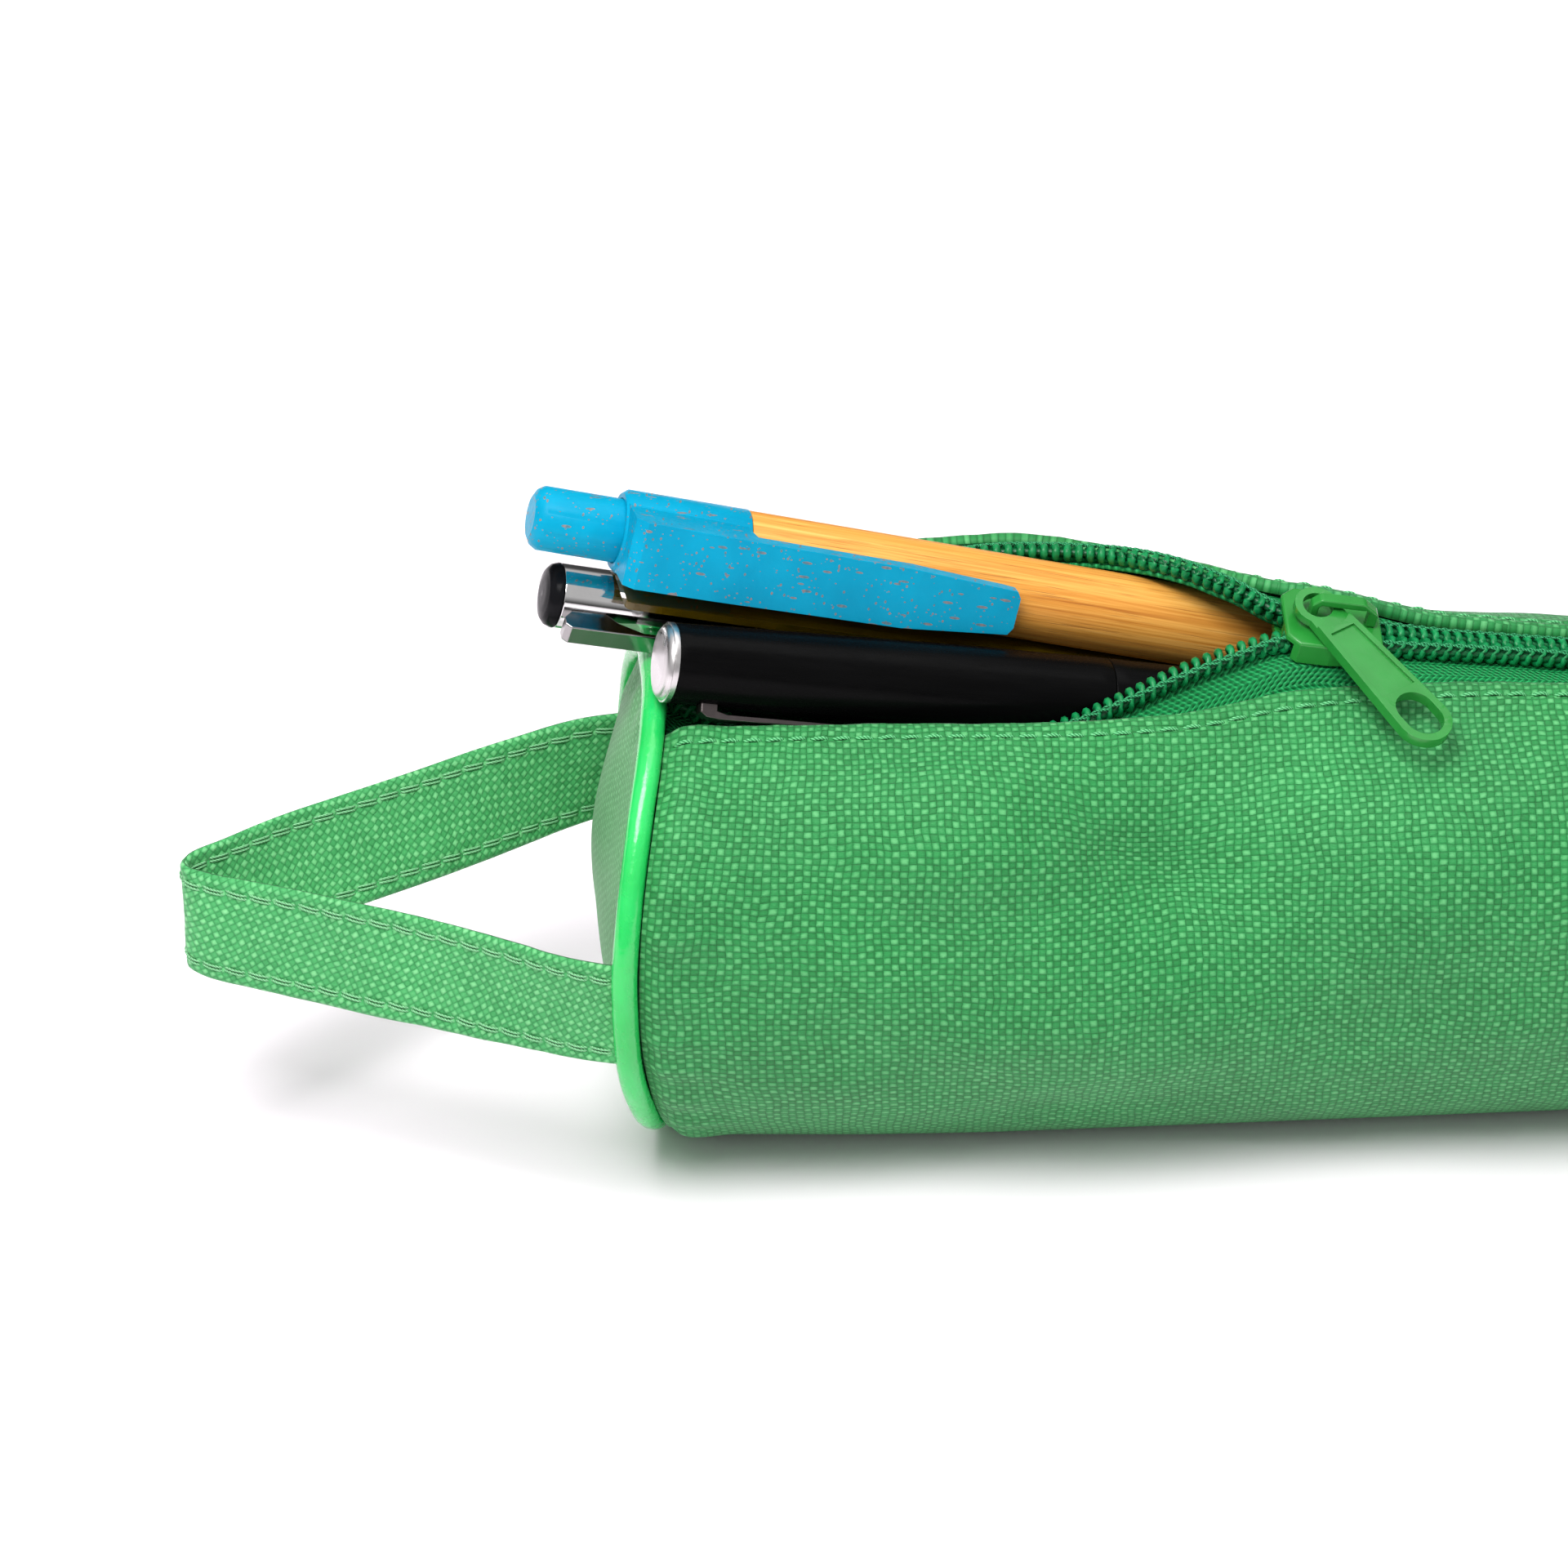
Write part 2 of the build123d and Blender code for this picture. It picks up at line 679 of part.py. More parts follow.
def return_spring():
    """The spring round the refill's point."""
    wire = 0.22
    length = SPRING_TO - SPRING_FROM - 2 * wire
    path = Helix(pitch=length / SPRING_TURNS, height=length, radius=1.75)
    start = Plane(origin=path @ 0, z_dir=path % 0)
    coil = sweep(start * Circle(wire), path=path)
    return Pos(SPRING_FROM + wire, 0, 0) * Rot(0, 90, 0) * coil


# The black twist-action pen.
BLACK_CLIP_SIDE = (-0.62, -0.78)
BLACK_SEAM = 57.6
BLACK_NOSE = 126.0
BLACK_LENGTH = 137.0


def black_end_plug():
    """The stepped metal plug in the top of the pen."""
    return turned(
        [
            (0, 0),
            (0, 3.2),
            (0.25, 4.2),
            (0.6, 4.6),
            (0.9, 4.7),
            (0.9, 4.95),
            (1.6, 4.95),
            (1.6, 3.9),
            (7.0, 3.9),
            (7.0, 0),
        ]
    )


def black_upper_barrel():
    outline = [
        (1.7, 4.0),
        (1.7, 4.95),
        (18.0, 5.25),
        (38.0, 5.55),
        (BLACK_SEAM, 5.65),
        (BLACK_SEAM, 4.0),
    ]
    slot = Pos(6.5, 0, 4.0) * Box(2.6, 2.6, 4.0)
    return turned(outline) - slot


def black_clip():
    """A sprung metal strip that enters the barrel through a slot near the top."""
    side_view = Plane.XZ * make_face(
        Polyline(
            (5.4, 4.05),
            (5.4, 5.9),
            (6.2, 6.5),
            (8.0, 6.7),
            (38.0, 6.7),
            (40.5, 6.9),
            (40.5, 6.3),
            (38.0, 5.85),
            (36.0, 5.9),
            (9.0, 6.0),
            (7.6, 5.6),
            (7.6, 4.05),
            close=True,
        )
    )
    strip = extrude(side_view, 1.2, both=True)
    return strip


def black_twist_sleeve():
    """The fixed sleeve in the upper half that the screw turns in."""
    return turned([(10.0, 2.4), (10.0, 3.9), (56.0, 3.9), (56.0, 2.4)])


def black_lower_barrel():
    return turned(
        [
            (BLACK_SEAM + CLEAR, 2.3),
            (BLACK_SEAM + CLEAR, 5.65),
            (75.0, 5.45),
            (100.0, 4.7),
            (BLACK_NOSE, 3.7),
            (BLACK_NOSE, 2.3),
        ]
    )


def black_nose_cone():
    return turned(
        [
            (BLACK_NOSE + 0.02, 1.9),
            (BLACK_NOSE + 0.02, 3.7),
            (BLACK_NOSE + 1.5, 3.6),
            (BLACK_LENGTH - 0.4, 1.5),
            (BLACK_LENGTH, 1.3),
            (BLACK_LENGTH, 1.2),
            (BLACK_LENGTH - 3.0, 1.2),
            (BLACK_LENGTH - 5.0, 1.9),
        ]
    )


def black_refill():
    """The refill, held inside the lower half until the pen is twisted."""
    return turned(
        [
            (40.0, 0),
            (40.0, 1.6),
            (127.0, 1.6),
            (127.0, 1.1),
            (133.2, 1.1),
            (135.4, 0.4),
            (135.8, 0),
        ]
    )


# The chrome rollerball with a pull-off cap.
CHROME_CLIP_SIDE = (-0.985, -0.17)
CAP_LENGTH = 56.0
CHROME_LENGTH = 131.0


def cap_finial():
    """The black domed end of the cap."""
    return turned(
        [(0, 0), (0.05, 2.0), (0.3, 3.2), (0.8, 3.8), (1.6, 4.1), (1.8, 4.1), (1.8, 3.5), (6.0, 3.5), (6.0, 0)]
    )


def cap_tube():
    return turned([(1.9, 3.6), (1.9, 4.1), (CAP_LENGTH, 4.1), (CAP_LENGTH, 3.6)])


def cap_clip():
    """A folded strip clip, open along its side."""
    side_view = Plane.XZ * make_face(
        Polyline(
            (3.2, 4.15),
            (2.0, 5.6),
            (2.0, 7.0),
            (2.6, 7.6),
            (36.0, 7.2),
            (39.0, 5.6),
            (39.0, 4.9),
            (37.8, 4.7),
            (35.4, 6.6),
            (12.0, 6.9),
            (9.0, 5.6),
            (7.5, 4.15),
            close=True,
        )
    )
    return extrude(side_view, 1.3, both=True)


def cap_liner():
    """The plastic liner that grips the section."""
    return turned([(24.0, 3.1), (24.0, 3.55), (44.0, 3.55), (44.0, 3.1)])


def rollerball_barrel():
    return turned(
        [
            (CAP_LENGTH + 0.1, 0),
            (CAP_LENGTH + 0.1, 4.0),
            (118.0, 3.9),
            (127.0, 3.3),
            (CHROME_LENGTH, 2.4),
            (CHROME_LENGTH, 0),
        ]
    )


def rollerball_grip():
    return turned(
        [(19.0, 0.75), (19.0, 2.0), (24.0, 2.9), (CAP_LENGTH, 3.0), (CAP_LENGTH, 0), (22.0, 0), (22.0, 0.75)]
    )


def rollerball_point():
    return turned([(14.0, 0), (14.3, 0.3), (18.5, 0.7), (21.9, 0.7), (21.9, 0)])


RULER_LENGTH = 100.0
RULER_WIDTH = 13.0
RULER_THICKNESS = 1.0


def ruler():
    """A short see-through ruler that lies flat between the pens, with a hole to hang it by."""
    middle = RULER_WIDTH / 2
    plan = Pos(RULER_LENGTH / 2, middle) * RectangleRounded(RULER_LENGTH, RULER_WIDTH, 0.8)
    hole = Pos(RULER_LENGTH - 5.0, middle) * Circle(1.8)
    return Pos(0, 0, -RULER_THICKNESS / 2) * extrude(plan - hole, RULER_THICKNESS)


# ---- write the case ----
save("body_panel", body_panel())
save("handle_end_disc", at_handle_end(end_disc()))
save("plain_end_disc", at_plain_end(end_disc()))
save("handle_end_piping", at_handle_end(piping()))
save("plain_end_piping", at_plain_end(piping()))
save("handle_end_binding", at_handle_end(binding()))
save("plain_end_binding", at_plain_end(binding()))
save("front_zip_tape", zip_tape(FRONT_ZIP))
save("rear_zip_tape", zip_tape(REAR_ZIP))
save("front_zip_coil", zip_coil(FRONT_ZIP))
save("rear_zip_coil", zip_coil(REAR_ZIP))
save("handle_loop", handle_loop())
save("slider_body", on_zip(slider_body()))
save("slider_bridge", on_zip(slider_bridge()))
save("pull_tab", placed_tab())

# ---- write the contents ----
for name, make in [
    ("bamboo_pen_push_button", push_button),
    ("bamboo_pen_clip_collar", clip_collar),
    ("bamboo_pen_cam_sleeve", cam_sleeve),
    ("bamboo_pen_barrel", bamboo_barrel),
    ("bamboo_pen_nose_cone", nose_cone),
    ("bamboo_pen_cam_rotor", cam_rotor),
    ("bamboo_pen_refill_tube", refill_tube),
    ("bamboo_pen_refill_point", refill_point),
    ("bamboo_pen_return_spring", return_spring),
]:
    save(name, placed(BAMBOO, BAMBOO_CLIP_SIDE, make()))
for name, make in [
    ("black_pen_end_plug", black_end_plug),
    ("black_pen_upper_barrel", black_upper_barrel),
    ("black_pen_clip", black_clip),
    ("black_pen_twist_sleeve", black_twist_sleeve),
    ("black_pen_lower_barrel", black_lower_barrel),
    ("black_pen_nose_cone", black_nose_cone),
    ("black_pen_refill", black_refill),
]:
    save(name, placed(BLACK, BLACK_CLIP_SIDE, make()))
for name, make in [
    ("rollerball_cap_finial", cap_finial),
    ("rollerball_cap_tube", cap_tube),
    ("rollerball_cap_clip", cap_clip),
    ("rollerball_cap_liner", cap_liner),
    ("rollerball_barrel", rollerball_barrel),
    ("rollerball_grip", rollerball_grip),
    ("rollerball_point", rollerball_point),
]:
    save(name, placed(CHROME, CHROME_CLIP_SIDE, make()))
save("ruler", placed(RULER, (-0.04, 1), ruler()))
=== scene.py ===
"""Looks of the filled pencil case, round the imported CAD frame.

The cloth, zip, piping and strap are meshes made here. The pens, slider and ruler keep their CAD meshes.
"""

import bpy
import math
import random
import numpy as np
from mathutils import Matrix, Vector, noise


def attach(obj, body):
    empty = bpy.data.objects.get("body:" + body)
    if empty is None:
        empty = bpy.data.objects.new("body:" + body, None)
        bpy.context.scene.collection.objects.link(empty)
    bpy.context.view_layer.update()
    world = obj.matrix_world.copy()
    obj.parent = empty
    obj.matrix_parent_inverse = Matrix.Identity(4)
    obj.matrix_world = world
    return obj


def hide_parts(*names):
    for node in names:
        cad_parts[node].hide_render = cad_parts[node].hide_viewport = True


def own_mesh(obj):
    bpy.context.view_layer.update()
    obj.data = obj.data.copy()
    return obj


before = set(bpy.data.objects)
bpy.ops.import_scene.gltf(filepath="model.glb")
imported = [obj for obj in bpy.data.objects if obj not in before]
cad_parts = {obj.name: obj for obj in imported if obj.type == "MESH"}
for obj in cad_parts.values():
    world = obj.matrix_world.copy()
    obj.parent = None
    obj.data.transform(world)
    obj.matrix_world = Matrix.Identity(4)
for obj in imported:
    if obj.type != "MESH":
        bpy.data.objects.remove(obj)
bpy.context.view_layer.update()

random.seed(7)
MM = 0.001
PI = math.pi

# ---- driving dimensions, in millimetres ----
CASE_LENGTH = 196.0
HALF = CASE_LENGTH / 2
RIM_HEIGHT = 32.2
FABRIC = 0.9
PIPING_RADIUS = 1.6
PIPING_RING = 30.3
REST_FLAT = 9.0
DOME_HEIGHT = 7.2
COIL_RADIUS = 1.2
TAPE = 0.5
TAPE_UNDER_COIL = COIL_RADIUS + 0.05
TOOTH_PITCH = 1.5
STRAP_WIDTH = 14.2
STRAP_THICKNESS = 1.2
# The handle end's ring is bent this far out of flat, and its panel bulges less than the plain end's.
RING_WARP = 2.6
HANDLE_DOME = 5.6

# Cross-sections of the cloth: distance from the handle end's seam, half width, height of the widest place,
# height of the belly, front hem (y, z), how steeply the cloth comes up to it, rear hem, the same.
PANEL_SECTIONS = [
    (1.7, 30.2, 32.2, 2.0, (-11.3, 60.2), 22, (11.3, 60.2), 22),
    (12, 30.3, 32.0, 1.3, (-11.4, 60.6), 22, (16.8, 63.0), 50),
    (30, 30.5, 31.6, 0.5, (-11.5, 60.3), 20, (21.2, 67.6), 72),
    (48, 30.6, 31.3, 0.15, (-11.4, 59.6), 18, (22.2, 68.2), 68),
    (66, 30.6, 31.1, 0.15, (-10.0, 59.3), 22, (18.2, 66.9), 45),
    (84, 30.6, 31.0, 0.15, (-7.4, 60.9), 34, (9.2, 66.2), 28),
    (104, 30.6, 31.0, 0.15, (-6.4, 60.4), 18, (6.5, 62.0), 18),
    (130, 30.6, 31.0, 0.15, (-6.3, 59.0), 12, (6.3, 59.2), 12),
    (165, 30.6, 31.2, 0.15, (-6.3, 59.0), 12, (6.3, 59.0), 12),
    (184, 30.4, 31.8, 1.2, (-6.3, 60.4), 12, (6.3, 60.4), 12),
    (194.3, 30.2, 32.2, 2.0, (-6.3, 61.8), 12, (6.3, 61.8), 12),
]
BELLY_FULLNESS = 0.45
SIDE_HANDLE = 0.44

# Zip halves: distance from the seam, then y and z of the coil, the tape's shoulder and its sewn edge.
FRONT_ZIP = [
    (2.0, -3.6, 60.4, -7.5, 59.9, -13.4, 58.0),
    (12, -6.0, 57.4, -9.4, 57.5, -13.6, 57.9),
    (30, -10.2, 54.6, -12.0, 55.8, -14.4, 57.3),
    (44, -10.0, 55.6, -11.8, 56.0, -14.2, 56.6),
    (54, -8.6, 57.6, -10.8, 57.1, -13.8, 56.2),
    (61, -6.8, 59.8, -9.4, 58.4, -13.2, 56.1),
    (68, -5.0, 62.2, -8.2, 59.6, -12.3, 56.2),
    (75, -3.9, 64.3, -7.3, 61.6, -11.6, 57.4),
    (80.5, -2.95, 65.3, -6.0, 64.5, -10.8, 57.5),
    (86.5, -1.42, 64.5, -5.6, 63.4, -10.7, 58.0),
    (93.5, -1.42, 63.35, -5.6, 62.3, -10.8, 57.9),
    (104, -1.45, 62.2, -5.65, 61.7, -11.0, 57.7),
    (130, -1.45, 59.75, -5.65, 59.5, -11.4, 57.4),
    (165, -1.45, 59.25, -5.65, 59.1, -11.6, 57.4),
    (194.0, -1.45, 60.6, -5.65, 60.5, -11.8, 58.9),
]
REAR_ZIP = [
    (2.0, 3.6, 60.4, 7.5, 59.9, 13.4, 58.0),
    (12, 14.4, 57.6, 15.2, 58.8, 16.4, 60.4),
    (30, 17.6, 62.0, 18.6, 63.0, 19.8, 64.2),
    (40, 19.0, 66.6, 20.2, 66.0, 21.8, 65.0),
    (50, 18.0, 68.0, 19.8, 67.0, 22.2, 65.4),
    (60, 16.2, 68.2, 18.2, 67.3, 21.2, 65.2),
    (68, 11.3, 69.0, 14.2, 68.3, 18.6, 65.2),
    (75, 6.8, 68.1, 10.2, 67.7, 15.4, 65.2),
    (80.5, 2.95, 66.5, 6.4, 67.1, 12.9, 65.4),
    (86.5, 1.42, 65.1, 5.6, 66.1, 12.2, 64.0),
    (93.5, 1.42, 63.95, 5.6, 64.9, 12.0, 62.2),
    (104, 1.45, 62.2, 5.65, 62.0, 11.6, 59.6),
    (130, 1.45, 59.75, 5.65, 59.5, 11.6, 57.6),
    (165, 1.45, 59.25, 5.65, 59.1, 11.6, 57.4),
    (194.0, 1.45, 60.6, 5.65, 60.5, 11.8, 58.9),
]


# ======== node materials ========
class Nodes:
    """A small helper that wires a node tree; lengths fed to it are in millimetres."""

    def __init__(self, tree):
        self.tree = tree

    def feed(self, socket, value):
        if hasattr(value, "links"):
            self.tree.links.new(value, socket)
        else:
            socket.default_value = (*value, 1) if socket.type == "RGBA" else value

    def node(self, kind, *first, inputs=None, **settings):
        """A new node: what goes into its first sockets, into sockets by name, and its settings."""
        node = self.tree.nodes.new("ShaderNode" + kind)
        for key, value in settings.items():
            setattr(node, key, value)
        for socket, value in zip(node.inputs, first):
            self.feed(socket, value)
        for key, value in (inputs or {}).items():
            self.feed(node.inputs[key], value)
        return node

    def math(self, kind, a, b=0.0):
        return self.node("Math", a, b, operation=kind).outputs[0]

    def add(self, total, *terms):
        for term in terms:
            total = self.math("ADD", total, term)
        return total

    def times(self, a, b):
        return self.math("MULTIPLY", a, b)

    def swing(self, value, size):
        """A value from 0 to 1 as one that goes that far in all, round zero."""
        return self.times(self.add(value, -0.5), size)

    def wave(self, a, length):
        """Cosine of a, going from +1 to -1 in that length."""
        return self.math("COSINE", self.times(a, PI / length))

    def split(self, vector):
        return self.node("SeparateXYZ", vector).outputs

    def uv(self):
        """The two coordinates of the piece's own UV map, in millimetres."""
        return self.split(self.node("UVMap", uv_map="cloth").outputs[0])[:2]

    def place(self):
        """The point at rest in the part's frame, in millimetres."""
        point = self.node("TexCoord").outputs["Object"]
        return self.node("VectorMath", point, inputs={"Scale": 1 / MM}, operation="SCALE").outputs[0]

    def along(self, point, origin, direction):
        """How far a point is from the origin in one direction."""
        offset = self.node("VectorMath", point, origin, operation="SUBTRACT").outputs[0]
        return self.node("VectorMath", offset, direction, operation="DOT_PRODUCT").outputs["Value"]

    def join(self, x, y, z=0.0):
        return self.node("CombineXYZ", x, y, z).outputs[0]

    def scaled(self, parts, factors):
        """A point made of coordinates that are each multiplied."""
        return self.join(*(part if f == 1 else self.times(part, f) for part, f in zip(parts, factors)))

    def noise(self, vector, scale, detail=2.0, roughness=0.5):
        inputs = {"Scale": scale, "Detail": detail, "Roughness": roughness}
        return self.node("TexNoise", vector, inputs=inputs).outputs["Fac"]

    def cells(self, vector, scale, output="Distance"):
        return self.node("TexVoronoi", vector, inputs={"Scale": scale}).outputs[output]

    def scatter(self, vector):
        return self.node("TexWhiteNoise", vector).outputs["Value"]

    def ramp(self, value, *stops):
        """Colours, or greys, at values from 0 to 1."""
        node = self.node("ValToRGB", value)
        while len(node.color_ramp.elements) < len(stops):
            node.color_ramp.elements.new(0.5)
        for element, (at, colour) in zip(node.color_ramp.elements, stops):
            element.position = at
            element.color = (*(colour if hasattr(colour, "__len__") else [colour] * 3), 1)
        return node.outputs[0]

    def mix(self, factor, a, b, kind="MIX"):
        node = self.node("Mix", factor, data_type="RGBA", blend_type=kind)
        self.feed(node.inputs[6], a)
        self.feed(node.inputs[7], b)
        return node.outputs[2]


class Shader(Nodes):
    """A material with one principled shader; settings are its sockets' own values."""

    def __init__(self, name, roughness=0.5, specular=0.5, **settings):
        self.material = bpy.data.materials.new(name)
        self.material.use_nodes = True
        super().__init__(self.material.node_tree)
        self.tree.nodes.clear()
        inputs = {"Roughness": roughness, "Specular IOR Level": specular}
        self.bsdf = self.node("BsdfPrincipled", inputs=inputs)
        self.node("OutputMaterial", self.bsdf.outputs[0])
        for key, value in settings.items():
            self.bsdf.inputs[key.replace("_", " ")].default_value = value

    def colour(self, value, *stops):
        """The base colour, or a value with the colours at its stops."""
        self.feed(self.bsdf.inputs["Base Color"], self.ramp(value, *stops) if stops else value)

    def rough(self, value, *stops):
        self.feed(self.bsdf.inputs["Roughness"], self.ramp(value, *stops))

    def bump(self, height, distance):
        """Relief of that height in millimetres, over the relief that is there."""
        inputs = {"Strength": 1.0, "Distance": distance * MM, "Height": height}
        normal = self.bsdf.inputs["Normal"]
        if normal.is_linked:
            inputs["Normal"] = normal.links[0].from_socket
        self.feed(normal, self.node("Bump", inputs=inputs).outputs[0])


YARN_FLATNESS = 0.42


def cloth(name, dark, middle, light, across=0.93, rows=0.78, relief=0.22):
    """Plain weave: light yarns lie over, staggered from row to row, with darker ones and pits between."""
    s = Shader(name, roughness=0.58, specular=0.28, Sheen_Weight=0.11)
    u, v = s.uv()
    flat = s.join(u, v)
    # the yarns drift slowly over the piece and wobble on their way
    wander = s.swing(s.noise(flat, 0.14), 1.3)
    drift = s.swing(s.noise(s.join(v, u), 0.17), 1.1)
    wobble = s.swing(s.noise(s.scaled((u, v), (0.6, 1.1)), 1.0), 0.20)
    u1 = s.add(u, wander, wobble)
    v1 = s.add(v, drift, s.times(wobble, 0.5))
    weave = s.times(s.wave(u1, across), s.wave(v1, rows))
    over = s.math("POWER", s.math("MAXIMUM", weave, 0.0), YARN_FLATNESS)
    under = s.math("POWER", s.math("MAXIMUM", s.times(weave, -1.0), 0.0), YARN_FLATNESS)
    row, column = s.math("ROUND", s.times(v1, 1 / rows)), s.math("ROUND", s.times(u1, 1 / across))
    each = s.scatter(s.join(row, column))
    fibres = s.noise(s.scaled((u1, v1), (2.2, 7.0)), 1.0, 3, 0.65)
    grime = s.noise(s.scaled((u, v), (1.3, 1.3)), 1.0, 4, 0.7)
    height = s.add(s.times(over, 0.62), s.times(under, 0.30))
    level = s.add(height, 0.14, s.swing(each, 0.17), s.swing(fibres, 0.34), s.swing(grime, 0.30))
    base = s.ramp(level, (0.12, dark), (0.46, middle), (0.84, light))
    tone = s.ramp(s.noise(flat, 0.045), (0.2, 0.86), (0.8, 1.10))
    s.colour(s.mix(1.0, base, tone, "MULTIPLY"))
    s.bump(s.add(height, s.times(fibres, 0.3)), relief)
    return s.material


def tape_cloth(name):
    """The closer, darker twill of the zip's tape."""
    s = Shader(name, roughness=0.55, specular=0.2)
    u, v = s.uv()
    ribs = s.wave(s.add(u, s.math("PINGPONG", v, 2.2)), 0.42)
    rows = s.wave(v, 0.30)
    grain = s.noise(s.join(u, v), 2.6, 3)
    level = s.add(s.times(ribs, 0.22), s.times(rows, 0.16), s.add(s.times(grain, 0.5), 0.22))
    dark, middle, light = (0.001, 0.075, 0.018), (0.004, 0.22, 0.056), (0.03, 0.42, 0.13)
    s.colour(level, (0.05, dark), (0.5, middle), (0.95, light))
    s.bump(s.add(ribs, s.times(rows, 0.5)), 0.09)
    return s.material


def nylon(name, dark, light):
    s = Shader(name, roughness=0.36, specular=0.3)
    grain = s.noise(s.place(), 1.3, 3)
    s.colour(grain, (0.3, dark), (0.75, light))
    s.rough(grain, (0.3, 0.28), (0.8, 0.42))
    s.bump(s.noise(s.place(), 6.0, 2), 0.03)
    return s.material


def thread(name, dark, light):
    """Twisted sewing thread, with its twist in the piece's own UV map."""
    s = Shader(name, roughness=0.55, specular=0.25)
    u, v = s.uv()
    twist = s.wave(s.add(u, v), 0.22)
    s.colour(s.add(s.times(twist, 0.4), 0.5), (0.1, dark), (0.9, light))
    s.bump(twist, 0.05)
    return s.material


def vinyl(name):
    s = Shader(name, roughness=0.24, Coat_Weight=0.35, Coat_Roughness=0.12, Subsurface_Weight=0.12)
    s.bsdf.inputs["Subsurface Radius"].default_value = (0.001, 0.003, 0.001)
    s.bsdf.inputs["Subsurface Scale"].default_value = 0.6
    place = s.place()
    slow = s.noise(place, 0.12, 3)
    s.colour(slow, (0.3, (0.010, 0.50, 0.085)), (0.7, (0.022, 0.60, 0.125)))
    s.rough(s.noise(place, 0.9, 3), (0.3, 0.19), (0.8, 0.32))
    s.bump(s.noise(place, 0.35, 3), 0.22)
    s.bump(s.noise(place, 3.0, 2), 0.02)
    return s.material


def enamel(name):
    """Thick paint on a zinc casting: rounded, slightly uneven, with a few pin holes and worn grains."""
    s = Shader(name, roughness=0.24)
    place = s.place()
    slow = s.noise(place, 0.25, 2)
    base = s.ramp(slow, (0.3, (0.016, 0.220, 0.028)), (0.7, (0.021, 0.255, 0.036)))
    speck = s.ramp(s.cells(place, 0.55), (0.02, 1.0), (0.06, 0.0))
    s.colour(s.mix(s.times(speck, 0.5), base, (0.10, 0.45, 0.14)))
    s.rough(s.noise(place, 1.2, 3), (0.3, 0.20), (0.8, 0.27))
    s.bump(s.noise(place, 0.5, 2), 0.02)
    s.bump(s.noise(place, 5.0, 2), 0.003)
    return s.material


def pen_frame(start, y0, z0, dy, dz, side):
    """Origin and directions of a pen and its clip. (y0, z0) is where it passes over the handle end's seam."""
    run = start + HALF
    origin = Vector((start, y0 + dy * run, z0 + dz * run))
    axis = Vector((1, dy, dz)).normalized()
    up = Vector((0, side[0], side[1]))
    up = (up - axis * up.dot(axis)).normalized()
    return origin, axis, up


BAMBOO = pen_frame(-110.0, 5.5, 79.3, 0.095, -0.2756, (-0.98, 0.19))
BLACK = pen_frame(-95.1, -8.5, 69.2, 0.138, -0.2235, (-0.62, -0.78))
CHROME = pen_frame(-108.9, 7.5, 67.95, 0.145, -0.2756, (-0.985, -0.17))
RULER = pen_frame(-98.6, -2.2, 73.1, 0.14, -0.2756, (-0.04, 1.0))


def pen_space(s, pen):
    """Distance along a pen and the two ways across it."""
    origin, axis, up = pen
    across = axis.cross(up)
    point = s.place()
    return tuple(s.along(point, tuple(origin), tuple(d)) for d in (axis, up, across))


def bamboo(name):
    s = Shader(name, roughness=0.45, specular=0.3)
    x, y, z = pen_space(s, BAMBOO)
    bend = s.swing(s.noise(s.scaled((x, y, z), (0.03, 1, 1)), 0.6), 0.6)
    grain = x, s.add(y, bend), s.add(z, bend)
    broad = s.noise(s.scaled(grain, (0.018, 1, 1)), 0.75, 4, 0.55)
    fine = s.noise(s.scaled(grain, (0.05, 3.2, 3.2)), 1.0, 5, 0.65)
    pores = s.noise(s.scaled(grain, (0.13, 6.5, 6.5)), 0.85)
    base = s.ramp(
        s.add(s.times(broad, 0.62), s.times(fine, 0.42)),
        (0.34, (0.40, 0.120, 0.012)),
        (0.46, (0.64, 0.260, 0.038)),
        (0.57, (0.78, 0.380, 0.075)),
        (0.70, (0.86, 0.500, 0.140)),
    )
    marks = s.ramp(pores, (0.30, 1.0), (0.40, 0.0))
    s.colour(s.mix(s.times(marks, 0.62), base, (0.33, 0.11, 0.02)))
    s.rough(fine, (0.3, 0.36), (0.7, 0.52))
    s.bump(s.add(fine, s.times(marks, -0.6)), 0.04)
    return s.material


FLECKS = ((0.42, 1.9, 1.6, 0.80, 0.62), (1.7, 0.55, 1.3, 0.95, 0.70), (0.9, 1.3, 1.3, 1.9, 0.78))


